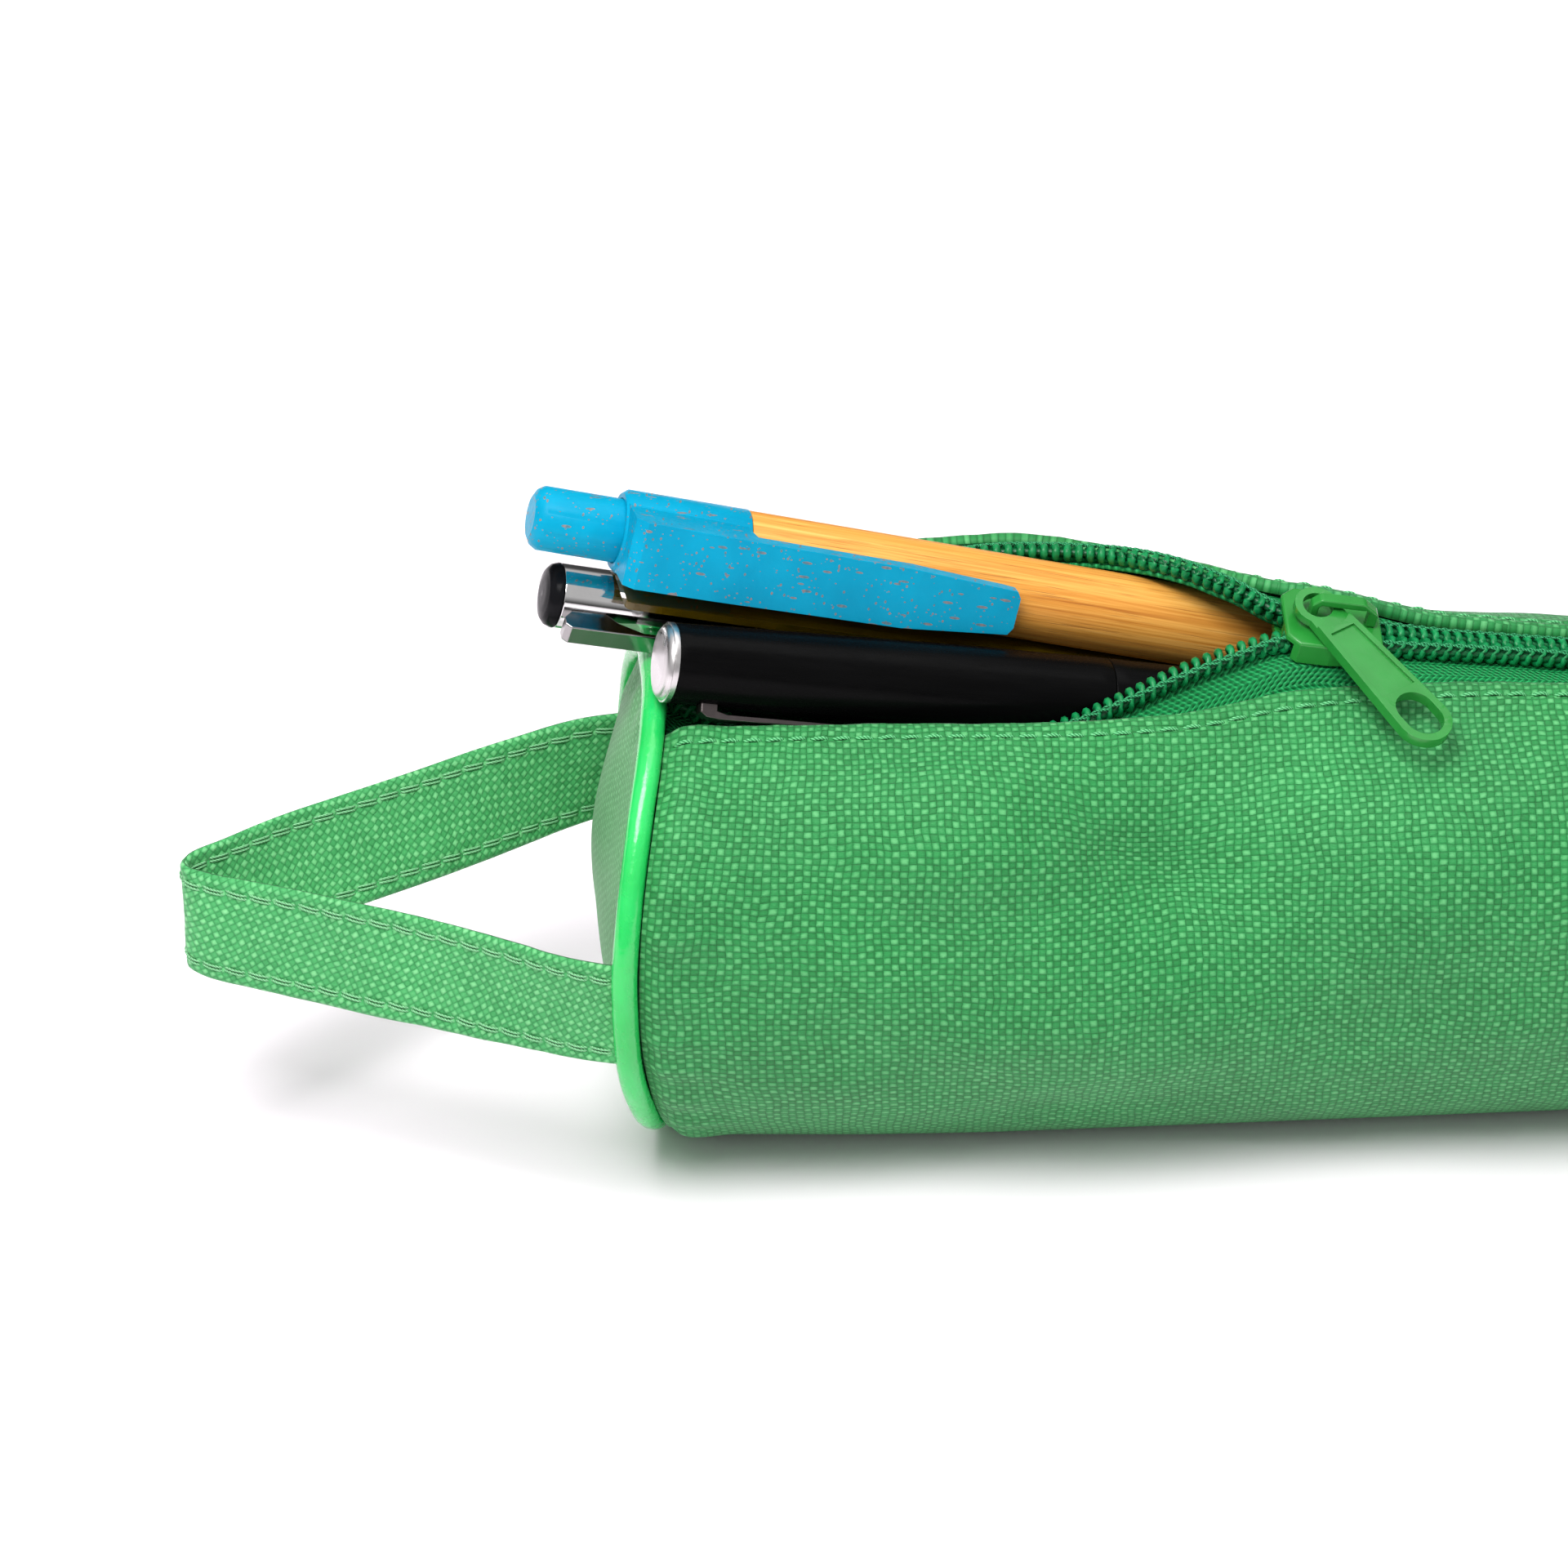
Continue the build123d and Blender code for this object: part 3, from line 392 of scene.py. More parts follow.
def straw_plastic(name):
    """Blue moulding with short reddish-brown straw flecks in it."""
    s = Shader(name, roughness=0.34, specular=0.08, Subsurface_Weight=0.04)
    s.bsdf.inputs["Subsurface Scale"].default_value = 0.5
    x, y, z = pen_space(s, BAMBOO)
    point = s.join(x, y, z)
    dark, light = (0.0005, 0.265, 0.440), (0.001, 0.315, 0.510)
    base = s.ramp(s.noise(point, 0.18, 3), (0.3, dark), (0.7, light))
    dots = None
    # three kinds of fleck: how close they lie each way, their density, and the share of them left out
    for kx, ky, kz, density, share in FLECKS:
        across = s.add(s.times(y, ky), s.times(x, 0.22))
        slanted = s.join(s.add(s.times(x, kx), s.times(y, 0.35)), across, s.times(z, kz))
        near = s.math("LESS_THAN", s.cells(slanted, density), 0.24)
        draw = s.along(s.cells(slanted, density, "Color"), (0, 0, 0), (1, 0, 0))
        spot = s.times(near, s.math("GREATER_THAN", s.math("FRACT", s.times(draw, 7.0)), share))
        dots = spot if dots is None else s.math("MAXIMUM", dots, spot)
    tint = s.ramp(s.noise(point, 1.7), (0.35, (0.10, 0.13, 0.13)), (0.65, (0.34, 0.16, 0.08)))
    s.colour(s.mix(s.times(dots, 0.72), base, tint))
    s.rough(s.noise(point, 1.1, 3), (0.3, 0.30), (0.75, 0.44))
    s.bump(s.noise(point, 1.4, 3), 0.03)
    return s.material


def lacquer(name, base, roughness, pen):
    s = Shader(name, roughness=roughness, specular=0.04)
    place = pen_space(s, pen)
    slow = s.noise(s.scaled(place, (0.1, 1, 1)), 0.5, 3)
    s.colour(slow, (0.3, base), (0.8, [c * 1.5 + 0.001 for c in base]))
    wear = s.noise(s.scaled(place, (0.3, 1, 1)), 1.5, 4)
    s.rough(wear, (0.3, roughness * 0.8), (0.8, roughness * 1.4))
    s.bump(s.noise(s.join(*place), 2.5), 0.006)
    return s.material


def plated(name, base, roughness, pen, lines=0.3):
    """Plated metal, with faint polishing lines round the pen and a trace of handling marks."""
    s = Shader(name, roughness=roughness, Metallic=1.0)
    place = pen_space(s, pen)
    smear = s.noise(s.join(*place), 0.35, 4, 0.6)
    s.colour(smear, (0.3, [c * 0.93 for c in base]), (0.7, base))
    polish = s.noise(s.scaled(place, (7.0, 0.2, 0.2)), 1.2, 3)
    mixed = s.add(s.times(smear, 0.5), s.times(polish, 0.5))
    s.rough(mixed, (0.3, roughness * 0.7), (0.7, roughness * 1.4))
    s.bump(polish, 0.004 * lines)
    return s.material


def clear_amber(name):
    s = Shader(name, roughness=0.07, IOR=1.49, Transmission_Weight=0.55)
    place = pen_space(s, RULER)
    slow = s.noise(s.join(*place), 0.15)
    s.colour(slow, (0.3, (0.13, 0.082, 0.002)), (0.7, (0.20, 0.130, 0.003)))
    s.rough(s.noise(s.scaled(place, (0.2, 1, 1)), 2.0, 3), (0.3, 0.05), (0.8, 0.14))
    return s.material


def moulding(name, base, roughness=0.45):
    s = Shader(name, roughness=roughness)
    place = s.place()
    s.colour(s.noise(place, 0.3, 3), (0.3, [c * 0.92 for c in base]), (0.7, base))
    s.rough(s.noise(place, 1.5, 3), (0.3, roughness * 0.85), (0.8, roughness * 1.25))
    s.bump(s.noise(place, 3.0), 0.01)
    return s.material


def seam_tape(name):
    """The tape on the CAD bindings, which have no UV map."""
    s = Shader(name, roughness=0.7)
    place = s.place()
    x = s.along(place, (0, 0, 0), (1, 0, 0))
    ribs = s.wave(x, 0.4)
    level = s.add(s.times(ribs, 0.2), s.noise(place, 2.0, 3))
    s.colour(level, (0.3, (0.002, 0.10, 0.03)), (0.8, (0.01, 0.24, 0.08)))
    s.bump(ribs, 0.08)
    return s.material


M_CLOTH = cloth("woven_cloth", (0.004, 0.130, 0.023), (0.020, 0.255, 0.062), (0.110, 0.445, 0.160))
# the end panels' cloth: lighter and paler greens than the body's, painted light for the light that falls on
# the handle end
M_END = cloth(
    "woven_end_cloth_painted_lighter", (0.045, 0.24, 0.070), (0.095, 0.34, 0.120), (0.16, 0.45, 0.19),
    across=0.72, rows=0.64, relief=0.14,
)
# the strap's cloth: the body's cloth in lighter greens, which is painted light for the light that falls more
# fully on the strap
M_STRAP = cloth(
    "woven_strap_cloth_painted_lighter", (0.020, 0.22, 0.055), (0.065, 0.39, 0.120), (0.20, 0.60, 0.25),
    across=0.86, rows=0.74, relief=0.2,
)
M_LINING = cloth(
    "lining_cloth", (0.003, 0.08, 0.02), (0.010, 0.16, 0.045), (0.03, 0.24, 0.08),
    across=0.4, rows=0.4, relief=0.05,
)
M_TAPE = tape_cloth("zip_tape_twill")
M_COIL = nylon("zip_coil_nylon", (0.002, 0.14, 0.036), (0.008, 0.30, 0.090))
M_CORE = nylon("zip_filler_cord", (0.001, 0.07, 0.018), (0.003, 0.15, 0.045))
M_ZIP_THREAD = thread("zip_thread", (0.004, 0.16, 0.05), (0.06, 0.46, 0.19))
M_THREAD = thread("sewing_thread", (0.03, 0.30, 0.09), (0.20, 0.66, 0.29))
M_STRAP_THREAD = thread("strap_thread", (0.10, 0.50, 0.17), (0.42, 0.82, 0.48))
M_PIPING = vinyl("piping_vinyl")
M_ENAMEL = enamel("green_enamel")


# ======== mesh helpers ========
def warped(points):
    """The handle end's ring is not flat: its seams pull the top and bottom in and the front out."""
    points = np.array(points, float)
    near = 1 - soft(np.abs(points[:, 0] + HALF), 2.0, 38.0)
    saddle = ((points[:, 2] - RIM_HEIGHT) ** 2 - np.minimum(points[:, 1], 0.0) ** 2) / PIPING_RING**2
    points[:, 0] += RING_WARP * saddle * near
    return points


def placed(name, data):
    obj = bpy.data.objects.new(name, data)
    bpy.context.scene.collection.objects.link(obj)
    return obj


def piece(name, verts, faces, materials, slot, uvs=None, which=None, smooth=True, body="case"):
    """A mesh in millimetres as a piece that rides on a body; uvs are per vertex, also in millimetres."""
    mesh = bpy.data.meshes.new(name)
    mesh.from_pydata((warped(verts) * MM).tolist(), [], [tuple(int(i) for i in f) for f in faces])
    for material in materials:
        mesh.materials.append(material)
    if which is not None:
        mesh.polygons.foreach_set("material_index", np.asarray(which, np.int32))
    mesh.polygons.foreach_set("use_smooth", [smooth] * len(mesh.polygons))
    if uvs is not None:
        layer = mesh.uv_layers.new(name="cloth")
        corner = np.zeros(len(mesh.loops), np.int32)
        mesh.loops.foreach_get("vertex_index", corner)
        layer.data.foreach_set("uv", np.asarray(uvs, float)[corner].ravel())
    mesh.validate()
    mesh.update()
    obj = placed(name, mesh)
    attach(obj, body)
    return obj


def grid_faces(rows, columns, start=0, flip=False, close=False):
    """Quads of a grid of points, row by row; close joins the last column to the first."""
    faces = []
    for i in range(rows - 1):
        for j in range(columns if close else columns - 1):
            k = (j + 1) % columns
            a, b = start + i * columns + j, start + i * columns + k
            quad = (a, b, b + columns, a + columns)
            faces.append(quad[::-1] if flip else quad)
    return faces


def slopes(places, values):
    """Slopes of the smooth line through rows that never overshoots them."""
    steps = np.diff(places)
    lean = np.diff(values, axis=0) / steps.reshape(-1, *([1] * (values.ndim - 1)))
    inner = np.zeros_like(values[1:-1])
    same = lean[:-1] * lean[1:] > 0
    inner[same] = 2 * lean[:-1][same] * lean[1:][same] / (lean[:-1][same] + lean[1:][same])
    return np.concatenate([lean[:1], inner, lean[-1:]])


def flow(places, values, at):
    """Values at places on that smooth line."""
    places, values, at = np.asarray(places, float), np.asarray(values, float), np.asarray(at, float)
    lean = slopes(places, values)
    i = np.clip(np.searchsorted(places, at, "right") - 1, 0, len(places) - 2)
    step = places[i + 1] - places[i]
    t = (at - places[i]) / step
    shape = [-1] + [1] * (values.ndim - 1)
    t, step = t.reshape(shape), step.reshape(shape)
    ease = t * t * (3 - 2 * t)
    bend = step * t * (1 - t) * (lean[i] * (1 - t) - lean[i + 1] * t)
    return values[i] * (1 - ease) + values[i + 1] * ease + bend


def bezier(p0, p1, p2, p3, t):
    t = np.asarray(t, float)[:, None]
    p0, p1, p2, p3 = (np.asarray(p, float) for p in (p0, p1, p2, p3))
    return (1 - t) ** 3 * p0 + 3 * t * (1 - t) ** 2 * p1 + 3 * t**2 * (1 - t) * p2 + t**3 * p3


def unit(vectors):
    return vectors / np.linalg.norm(vectors, axis=-1, keepdims=True)


def run_of(points):
    """Distance along a line of points."""
    return np.concatenate([[0], np.cumsum(np.linalg.norm(np.diff(points, axis=0), axis=1))])


def across_of(grid):
    """Distance along each row of a grid of points."""
    steps = np.linalg.norm(np.diff(grid, axis=1), axis=2)
    return np.concatenate([np.zeros((len(grid), 1)), np.cumsum(steps, axis=1)], 1)


def read(values, distance, at):
    """Rows of values along a line, read at other distances."""
    return np.stack([np.interp(at, distance, values[:, k]) for k in range(3)], -1)


def normals_of(points):
    """Unit normals of a grid of points, on its left-hand side along rows then columns."""
    return unit(np.cross(np.gradient(points, axis=1), np.gradient(points, axis=0)))


def soft(value, low, high):
    """0 below low and 1 above high, smoothly."""
    t = np.clip((np.asarray(value, float) - low) / (high - low), 0, 1)
    return t * t * (3 - 2 * t)


def field(u, v, size, seed, stretch=1.0):
    """Smooth wrinkles of about that size over a grid, from -1 to 1."""
    u, v = np.broadcast_arrays(u, v)
    out = np.empty(u.shape)
    for index, (a, b) in enumerate(zip(u.ravel(), v.ravel())):
        out.flat[index] = noise.noise((a / size / stretch, b / size, seed))
    return out


def tube(path, radius, sides, across=None):
    """Rings of points round a path, and the distance along it; radius may change along it."""
    path = np.asarray(path, float)
    heading = unit(np.gradient(path, axis=0))
    guide = np.array([0.0, 0.0, 1.0]) if across is None else np.asarray(across, float)
    side = np.cross(heading, guide)
    weak = np.linalg.norm(side, axis=1) < 1e-4
    side[weak] = np.cross(heading[weak], [0.0, 1.0, 0.0])
    side = unit(side)
    other = np.cross(side, heading)
    turn = (np.arange(sides) * 2 * PI / sides)[None, :, None]
    radius = np.broadcast_to(np.asarray(radius, float).reshape(-1, 1), (len(path), 1))[:, :, None]
    rings = path[:, None, :] + (side[:, None, :] * np.cos(turn) + other[:, None, :] * np.sin(turn)) * radius
    return rings, run_of(path)


class Build:
    """Gathers many small tubes into one mesh."""

    def __init__(self):
        self.verts, self.faces, self.uvs, self.which = [], [], [], []
        self.count = 0

    def tube(self, path, radius, sides=6, material=0, across=None):
        rings, distance = tube(path, radius, sides, across)
        rows = len(rings)
        self.verts.append(rings.reshape(-1, 3))
        around = np.arange(sides) * (2 * PI / sides) * 0.3
        self.uvs.append(np.stack(np.broadcast_arrays(distance[:, None], around[None, :]), -1).reshape(-1, 2))
        faces = grid_faces(rows, sides, self.count, close=True)
        first, last = self.count, self.count + (rows - 1) * sides
        faces.append(tuple(first + k for k in range(sides))[::-1])
        faces.append(tuple(last + k for k in range(sides)))
        self.faces += faces
        self.which += [material] * len(faces)
        self.count += rows * sides

    def piece(self, name, materials, slot):
        verts, uvs = np.concatenate(self.verts), np.concatenate(self.uvs)
        return piece(name, verts, self.faces, materials, slot, uvs, self.which)


# height of a stitch along its length, in thread radii
STITCH_LIFT = (-1.1, -0.2, 0.55, 0.85, 0.95, 0.85, 0.55, -0.2, -1.1)


def stitches(build, line, normal, length, gap, radius, sink, slant=0.0):
    """Lockstitches on a line of points: each one comes up, lies along the cloth and goes down again."""
    line, normal = np.asarray(line, float), np.asarray(normal, float)
    distance = run_of(line)
    total = distance[-1]
    count = int(total // (length + gap))
    pitch = total / count
    lift = np.array(STITCH_LIFT) * radius - sink
    for k in range(count):
        jitter = random.uniform(-0.08, 0.08) * gap
        at = np.linspace(gap / 2, pitch - gap / 2, len(lift)) + k * pitch + jitter
        at = np.clip(at, 0, total)
        point, out = read(line, distance, at), read(normal, distance, at)
        side = unit(np.cross(np.gradient(point, axis=0), out))
        lean = np.linspace(-0.5, 0.5, len(lift)) * (slant + random.uniform(-0.06, 0.06))
        build.tube(point + out * lift[:, None] + side * lean[:, None], radius, across=out)


# ======== the cloth panel ========
HEM_STEPS = np.array([0.0, 0.2, 0.45, 0.8, 1.2, 1.6, 1.95, 2.3, 2.65, 3.0, 3.5, 4.2, 5.2])
SIDE_RUN = 44.0
HEM_STITCHES = 2.3
GATHER_PITCH = 6.4
# Soft grooves: from (along the case, below the front hem) to the same at their other end, width and depth.
FOLDS = [
    (8, 6, 38, 36, 5.0, 0.9), (46, 8, 74, 30, 7.5, 1.5), (60, 26, 98, 52, 8.0, 1.2),
    (98, 6, 120, 26, 6.0, 0.8), (14, 40, 60, 62, 7.0, 0.7), (130, 12, 176, 34, 9.0, 0.9),
]
# Broad rises and hollows: place along the case and round from the belly, length, width and height.
SWELLS = [
    (38, -72, 16, 10, 3.0), (64, -68, 12, 11, -5.6), (60, -42, 26, 10, 1.5), (82, -62, 15, 11, -1.8),
    (112, -68, 18, 12, 1.4), (140, -58, 20, 12, -1.0), (40, 62, 20, 12, -1.4), (78, 55, 22, 14, 1.0),
    (120, 60, 24, 12, -1.2),
]


def panel_grid(places):
    """Mid line of the cloth at places along the case, and how far round it each point is from the belly."""
    side_t = 1 - np.concatenate([HEM_STEPS / SIDE_RUN, np.linspace(HEM_STEPS[-1] / SIDE_RUN, 1, 46)[1:]])
    low_t = np.linspace(0, 1, 34)
    flat_steps = 7
    rows = []
    for _, half, middle, belly, front, front_rise, rear, rear_rise in PANEL_SECTIONS:

        def side(sign, hem, rise):
            foot = (sign * half, middle)
            reach = math.dist(foot, hem) * SIDE_HANDLE
            rise = math.radians(rise)
            guide = (hem[0] + sign * reach * math.cos(rise), hem[1] - reach * math.sin(rise))
            return bezier(foot, (foot[0], middle + reach), guide, hem, side_t)

        def quarter(sign):
            start, end = (sign * REST_FLAT, belly), (sign * half, middle)
            out = REST_FLAT + (half - REST_FLAT) * BELLY_FULLNESS
            guide = (end[0], middle - (middle - belly) * BELLY_FULLNESS)
            flat = np.linspace(0, start[0], flat_steps + 1)[:-1]
            flat = np.column_stack([flat, np.full(flat_steps, belly)])
            return np.concatenate([flat, bezier(start, (sign * out, belly), guide, end, low_t)])

        front_side, rear_side = side(-1, front, front_rise), side(1, rear, rear_rise)[::-1]
        rows.append(np.concatenate([front_side, quarter(-1)[::-1][1:], quarter(1)[1:], rear_side[1:]]))
    section = flow([row[0] for row in PANEL_SECTIONS], np.array(rows), places)
    x = np.broadcast_to((places - HALF)[:, None, None], section.shape[:2] + (1,))
    around = across_of(section)
    belly_column = len(side_t) + len(low_t) + flat_steps - 2
    return np.concatenate([x, section], 2), around - around[:, belly_column : belly_column + 1]


def wrinkles(s, around):
    """How far the cloth stands off its smooth shape, at each place on the flattened panel."""
    rise = 1.05 * field(s, around, 26.0, 3.1, 1.5) + 0.5 * field(s + 0.6 * around, around, 12.0, 8.4, 1.6)
    rise += 0.22 * field(s, around, 6.0, 5.2, 1.3)
    below_hem = around - around[:, :1].mean()
    for s0, a0, s1, a1, width, depth in FOLDS:
        run = np.array([s1 - s0, a1 - a0])
        size = np.linalg.norm(run)
        t = ((s - s0) * run[0] + (below_hem - a0) * run[1]) / size**2
        off = ((s - s0) * run[1] - (below_hem - a0) * run[0]) / size
        rise -= depth * np.exp(-((off / width) ** 2)) * soft(t, -0.1, 0.25) * (1 - soft(t, 0.7, 1.15))
    for at, to, length, width, height in SWELLS:
        rise += height * np.exp(-(((s - at) / length) ** 2) - ((around - to) / width) ** 2)
    return rise


def panel():
    start, end = PANEL_SECTIONS[0][0], PANEL_SECTIONS[-1][0]
    places = np.concatenate(
        [np.arange(start, 9.0, 0.55), np.arange(9.0, 187.0, 0.95), np.arange(187.0, end + 0.01, 0.6)]
    )
    middle, around = panel_grid(places)
    normal = normals_of(middle)
    s = places[:, None] + 0 * around
    z = middle[:, :, 2]
    from_front = around - around[:, :1]
    from_rear = around[:, -1:] - around
    hem = np.minimum(from_front, from_rear)
    seam = np.minimum(s - start, end - s)
    # wrinkles, calmer near the seams and hems and where the case rests
    shape = wrinkles(s, around) * soft(z, 2.0, 14.0) * soft(seam, 0.0, 14.0) * soft(hem, 0.0, 9.0)
    # gathers beside the piping, and the full roll of cloth that turns in there
    phase = around * 2 * PI / GATHER_PITCH + 3.4 * field(s * 0, around, 13.0, 1.7)
    near_seam = (1 - soft(seam, 1.5, 13.0)) * soft(seam, 0.0, 1.5) * soft(z, 3.0, 9.0)
    offset = np.cos(phase) * (0.25 + 0.25 * field(s * 0, around, 21.0, 6.6)) * near_seam
    offset += 0.55 * np.exp(-(((seam - 3.6) / 3.0) ** 2)) - 0.9 * (1 - soft(seam, 0.0, 2.2))
    # folded hem: thicker out to its stitches, which pull in a groove
    double = 1 - soft(hem, 3.4, 4.6)
    groove = np.exp(-(((hem - HEM_STITCHES) / 0.42) ** 2)) * (0.75 + 0.25 * np.cos(s * 2 * PI / 3.0))
    offset += 0.35 * double * soft(hem, 0.0, 0.9) - 0.42 * groove
    offset += 0.16 * field(s, around, 2.6, 2.9) * (1 - soft(hem, 2.0, 7.0))
    # pressed flat where the pull tab passes over it
    offset -= 1.15 * np.exp(-(((s - 166) / 15) ** 4)) * (1 - soft(from_front, 14.0, 24.0))
    rise = np.clip(FABRIC / 2 + offset, -0.3, 3.0) + shape
    outer = middle + normal * rise[:, :, None]
    inner = middle + normal * (shape - FABRIC / 2 - 0.6 * double)[:, :, None]
    outer[:, :, 2] = np.maximum(outer[:, :, 2], 0.02)
    inner[:, :, 2] = np.maximum(inner[:, :, 2], 0.5)
    rows, columns = s.shape
    count = rows * columns
    uv = np.stack([s, around], -1).reshape(-1, 2)
    faces = grid_faces(rows, columns) + grid_faces(rows, columns, count, flip=True)
    which = [0] * (len(faces) // 2) + [1] * (len(faces) // 2)
    # the cut edges: along both hems, then at both ends
    edge = []
    for i in range(rows - 1):
        a, b = i * columns, (i + 1) * columns
        edge.append((a, b, b + count, a + count))
        a, b = a + columns - 1, b + columns - 1
        edge.append((b, a, a + count, b + count))
    for a in range(columns - 1):
        edge.append((a + 1, a, a + count, a + 1 + count))
        b = a + (rows - 1) * columns
        edge.append((b, b + 1, b + 1 + count, b + count))
    obj = piece(
        "case_cloth", np.concatenate([outer.reshape(-1, 3), inner.reshape(-1, 3)]), faces + edge,
        [M_CLOTH, M_LINING], "woven_cloth", np.concatenate([uv, uv]), which + [0] * len(edge),
    )
    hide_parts("body_panel")
    # topstitching along both hems
    build = Build()
    for distance in (from_front, from_rear):
        line, out = [], []
        for i in range(rows):
            order = np.argsort(distance[i])
            line.append(read(outer[i, order], distance[i, order], HEM_STITCHES))
            out.append(read(normal[i, order], distance[i, order], HEM_STITCHES))
        stitches(build, line[2:-2], out[2:-2], 2.35, 0.6, 0.25, sink=-0.05)
    build.piece("hem_stitches", [M_THREAD], "woven_cloth")


# ======== zip ========
def zip_lines(rows, places):
    """Coil, shoulder and edge of a zip half at places along the case, as points."""
    rows = np.array(rows)
    x = places - HALF
    return [np.column_stack([x, flow(rows[:, 0], rows[:, n : n + 2], places)]) for n in (1, 3, 5)]


def frames_of(coil, shoulder):
    """For each point of a zip half: towards the teeth's noses, and out of the case."""
    along = unit(np.gradient(coil, axis=0))
    nose = coil - shoulder
    nose = unit(nose - along * (nose * along).sum(1, keepdims=True))
    out = np.cross(along, nose)
    out[out[:, 2] < 0] *= -1
    return nose, out


def zip_tape(name, coil, shoulder, edge, nose, places, sign):
    """Woven tape from just past the coil, over the shoulder, to its sewn edge."""
    near, far = (
        unit(np.stack([0 * line[:, 0], -line[:, 2], line[:, 1]], -1) * sign)
        for line in (shoulder - coil, edge - shoulder)
    )
    middle = (near + far) / 2
    grid, lift = [], []
    for t in np.concatenate([np.linspace(0, 1, 6)[:-1], np.linspace(1, 2, 8)]):
        if t <= 1:
            grid.append(coil * (1 - t) + shoulder * t)
            lift.append(near * (1 - t) + middle * t)
        else:
            grid.append(shoulder * (2 - t) + edge * (t - 1))
            lift.append(middle * (2 - t) + far * (t - 1))
    grid, lift = np.stack([grid[0] + nose * 0.5] + grid, 1), np.stack([lift[0]] + lift, 1)
    width = across_of(grid)
    along = places[:, None] + 0 * width
    ripple = 0.10 * field(along, width, 3.2, 4.4 + sign)
    upper = grid - lift * (TAPE_UNDER_COIL - 0.02 - ripple)[:, :, None]
    lower = grid - lift * (TAPE_UNDER_COIL + TAPE - ripple)[:, :, None]
    rows, columns = width.shape
    count = rows * columns
    uv = np.stack([along, width], -1).reshape(-1, 2)
    faces = grid_faces(rows, columns, 0, flip=sign < 0) + grid_faces(rows, columns, count, flip=sign > 0)
    for j in (0, columns - 1):
        for i in range(rows - 1):
            a, b = i * columns + j, (i + 1) * columns + j
            faces.append((a, b, b + count, a + count))
    tape = piece(
        f"{name}_zip_tape_weave", np.concatenate([upper.reshape(-1, 3), lower.reshape(-1, 3)]), faces,
        [M_TAPE], "zip_tape", np.concatenate([uv, uv]),
    )
    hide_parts(f"{name}_zip_tape")


# One tooth of the nylon filament: along in pitches, towards the nose, out, and radius.
TOOTH = np.array([
    (-0.50, -1.00, 0.00, 0.36), (-0.44, -0.94, 0.50, 0.36), (-0.30, -0.60, 0.78, 0.38),
    (-0.08, -0.10, 0.82, 0.40), (0.00, 0.45, 0.80, 0.44), (0.00, 0.92, 0.58, 0.52), (0.00, 1.08, 0.20, 0.56),
    (0.00, 1.08, -0.20, 0.56), (0.00, 0.92, -0.56, 0.50), (0.00, 0.40, -0.74, 0.42),
    (0.08, -0.10, -0.76, 0.38), (0.28, -0.62, -0.74, 0.36), (0.44, -0.94, -0.46, 0.36),
])


def zip_half(name, rows, shift, sign):
    places = np.arange(2.0, 194.01, 1.0)
    coil, shoulder, edge = zip_lines(rows, places)
    nose, out = frames_of(coil, shoulder)
    zip_tape(name, coil, shoulder, edge, nose, places, sign)
    # one filament: up over the top, round the nose, back below, and on to the next tooth
    build = Build()
    length = run_of(coil)
    path, radius = [], []
    for k in range(int(length[-1] // TOOTH_PITCH)):
        d = (k + 0.5) * TOOTH_PITCH + shift + TOOTH[:, 0] * TOOTH_PITCH
        c, n, o = (read(values, length, d) for values in (coil, nose, out))
        path.append(c + n * TOOTH[:, 1:2] + o * TOOTH[:, 2:3])
        radius.append(TOOTH[:, 3])
    path, radius = np.concatenate(path), np.concatenate(radius)
    keep = np.abs(path[:, 0]) < HALF - 2.4
    build.tube(path[keep], radius[keep], 7, across=(0.3, 0.5, 0.8))
    # the filler cord inside it
    core = coil - nose * 0.25
    build.tube(core[1:-1], 0.55, 6, 1)
    # chain stitch over the coil, one loop to a tooth, and the row that holds it to the tape
    fine = np.arange(2.0, length[-1] - 2.0, 0.25)
    c, n, o = (read(values, length, fine) for values in (coil, nose, out))
    for phase, side in ((0.0, -0.22), (PI, -0.46)):
        turn = fine * 2 * PI / TOOTH_PITCH + phase
        across, height = side + 0.13 * np.cos(turn), 1.10 + 0.10 * np.sin(turn)
        build.tube(c + n * across[:, None] + o * height[:, None], 0.19, 5, 2)
    teeth = build.piece(f"{name}_zip_teeth", [M_COIL, M_CORE, M_ZIP_THREAD], "zip_coil")
    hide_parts(f"{name}_zip_coil")


# ======== ends ========
PUCKERS = 26


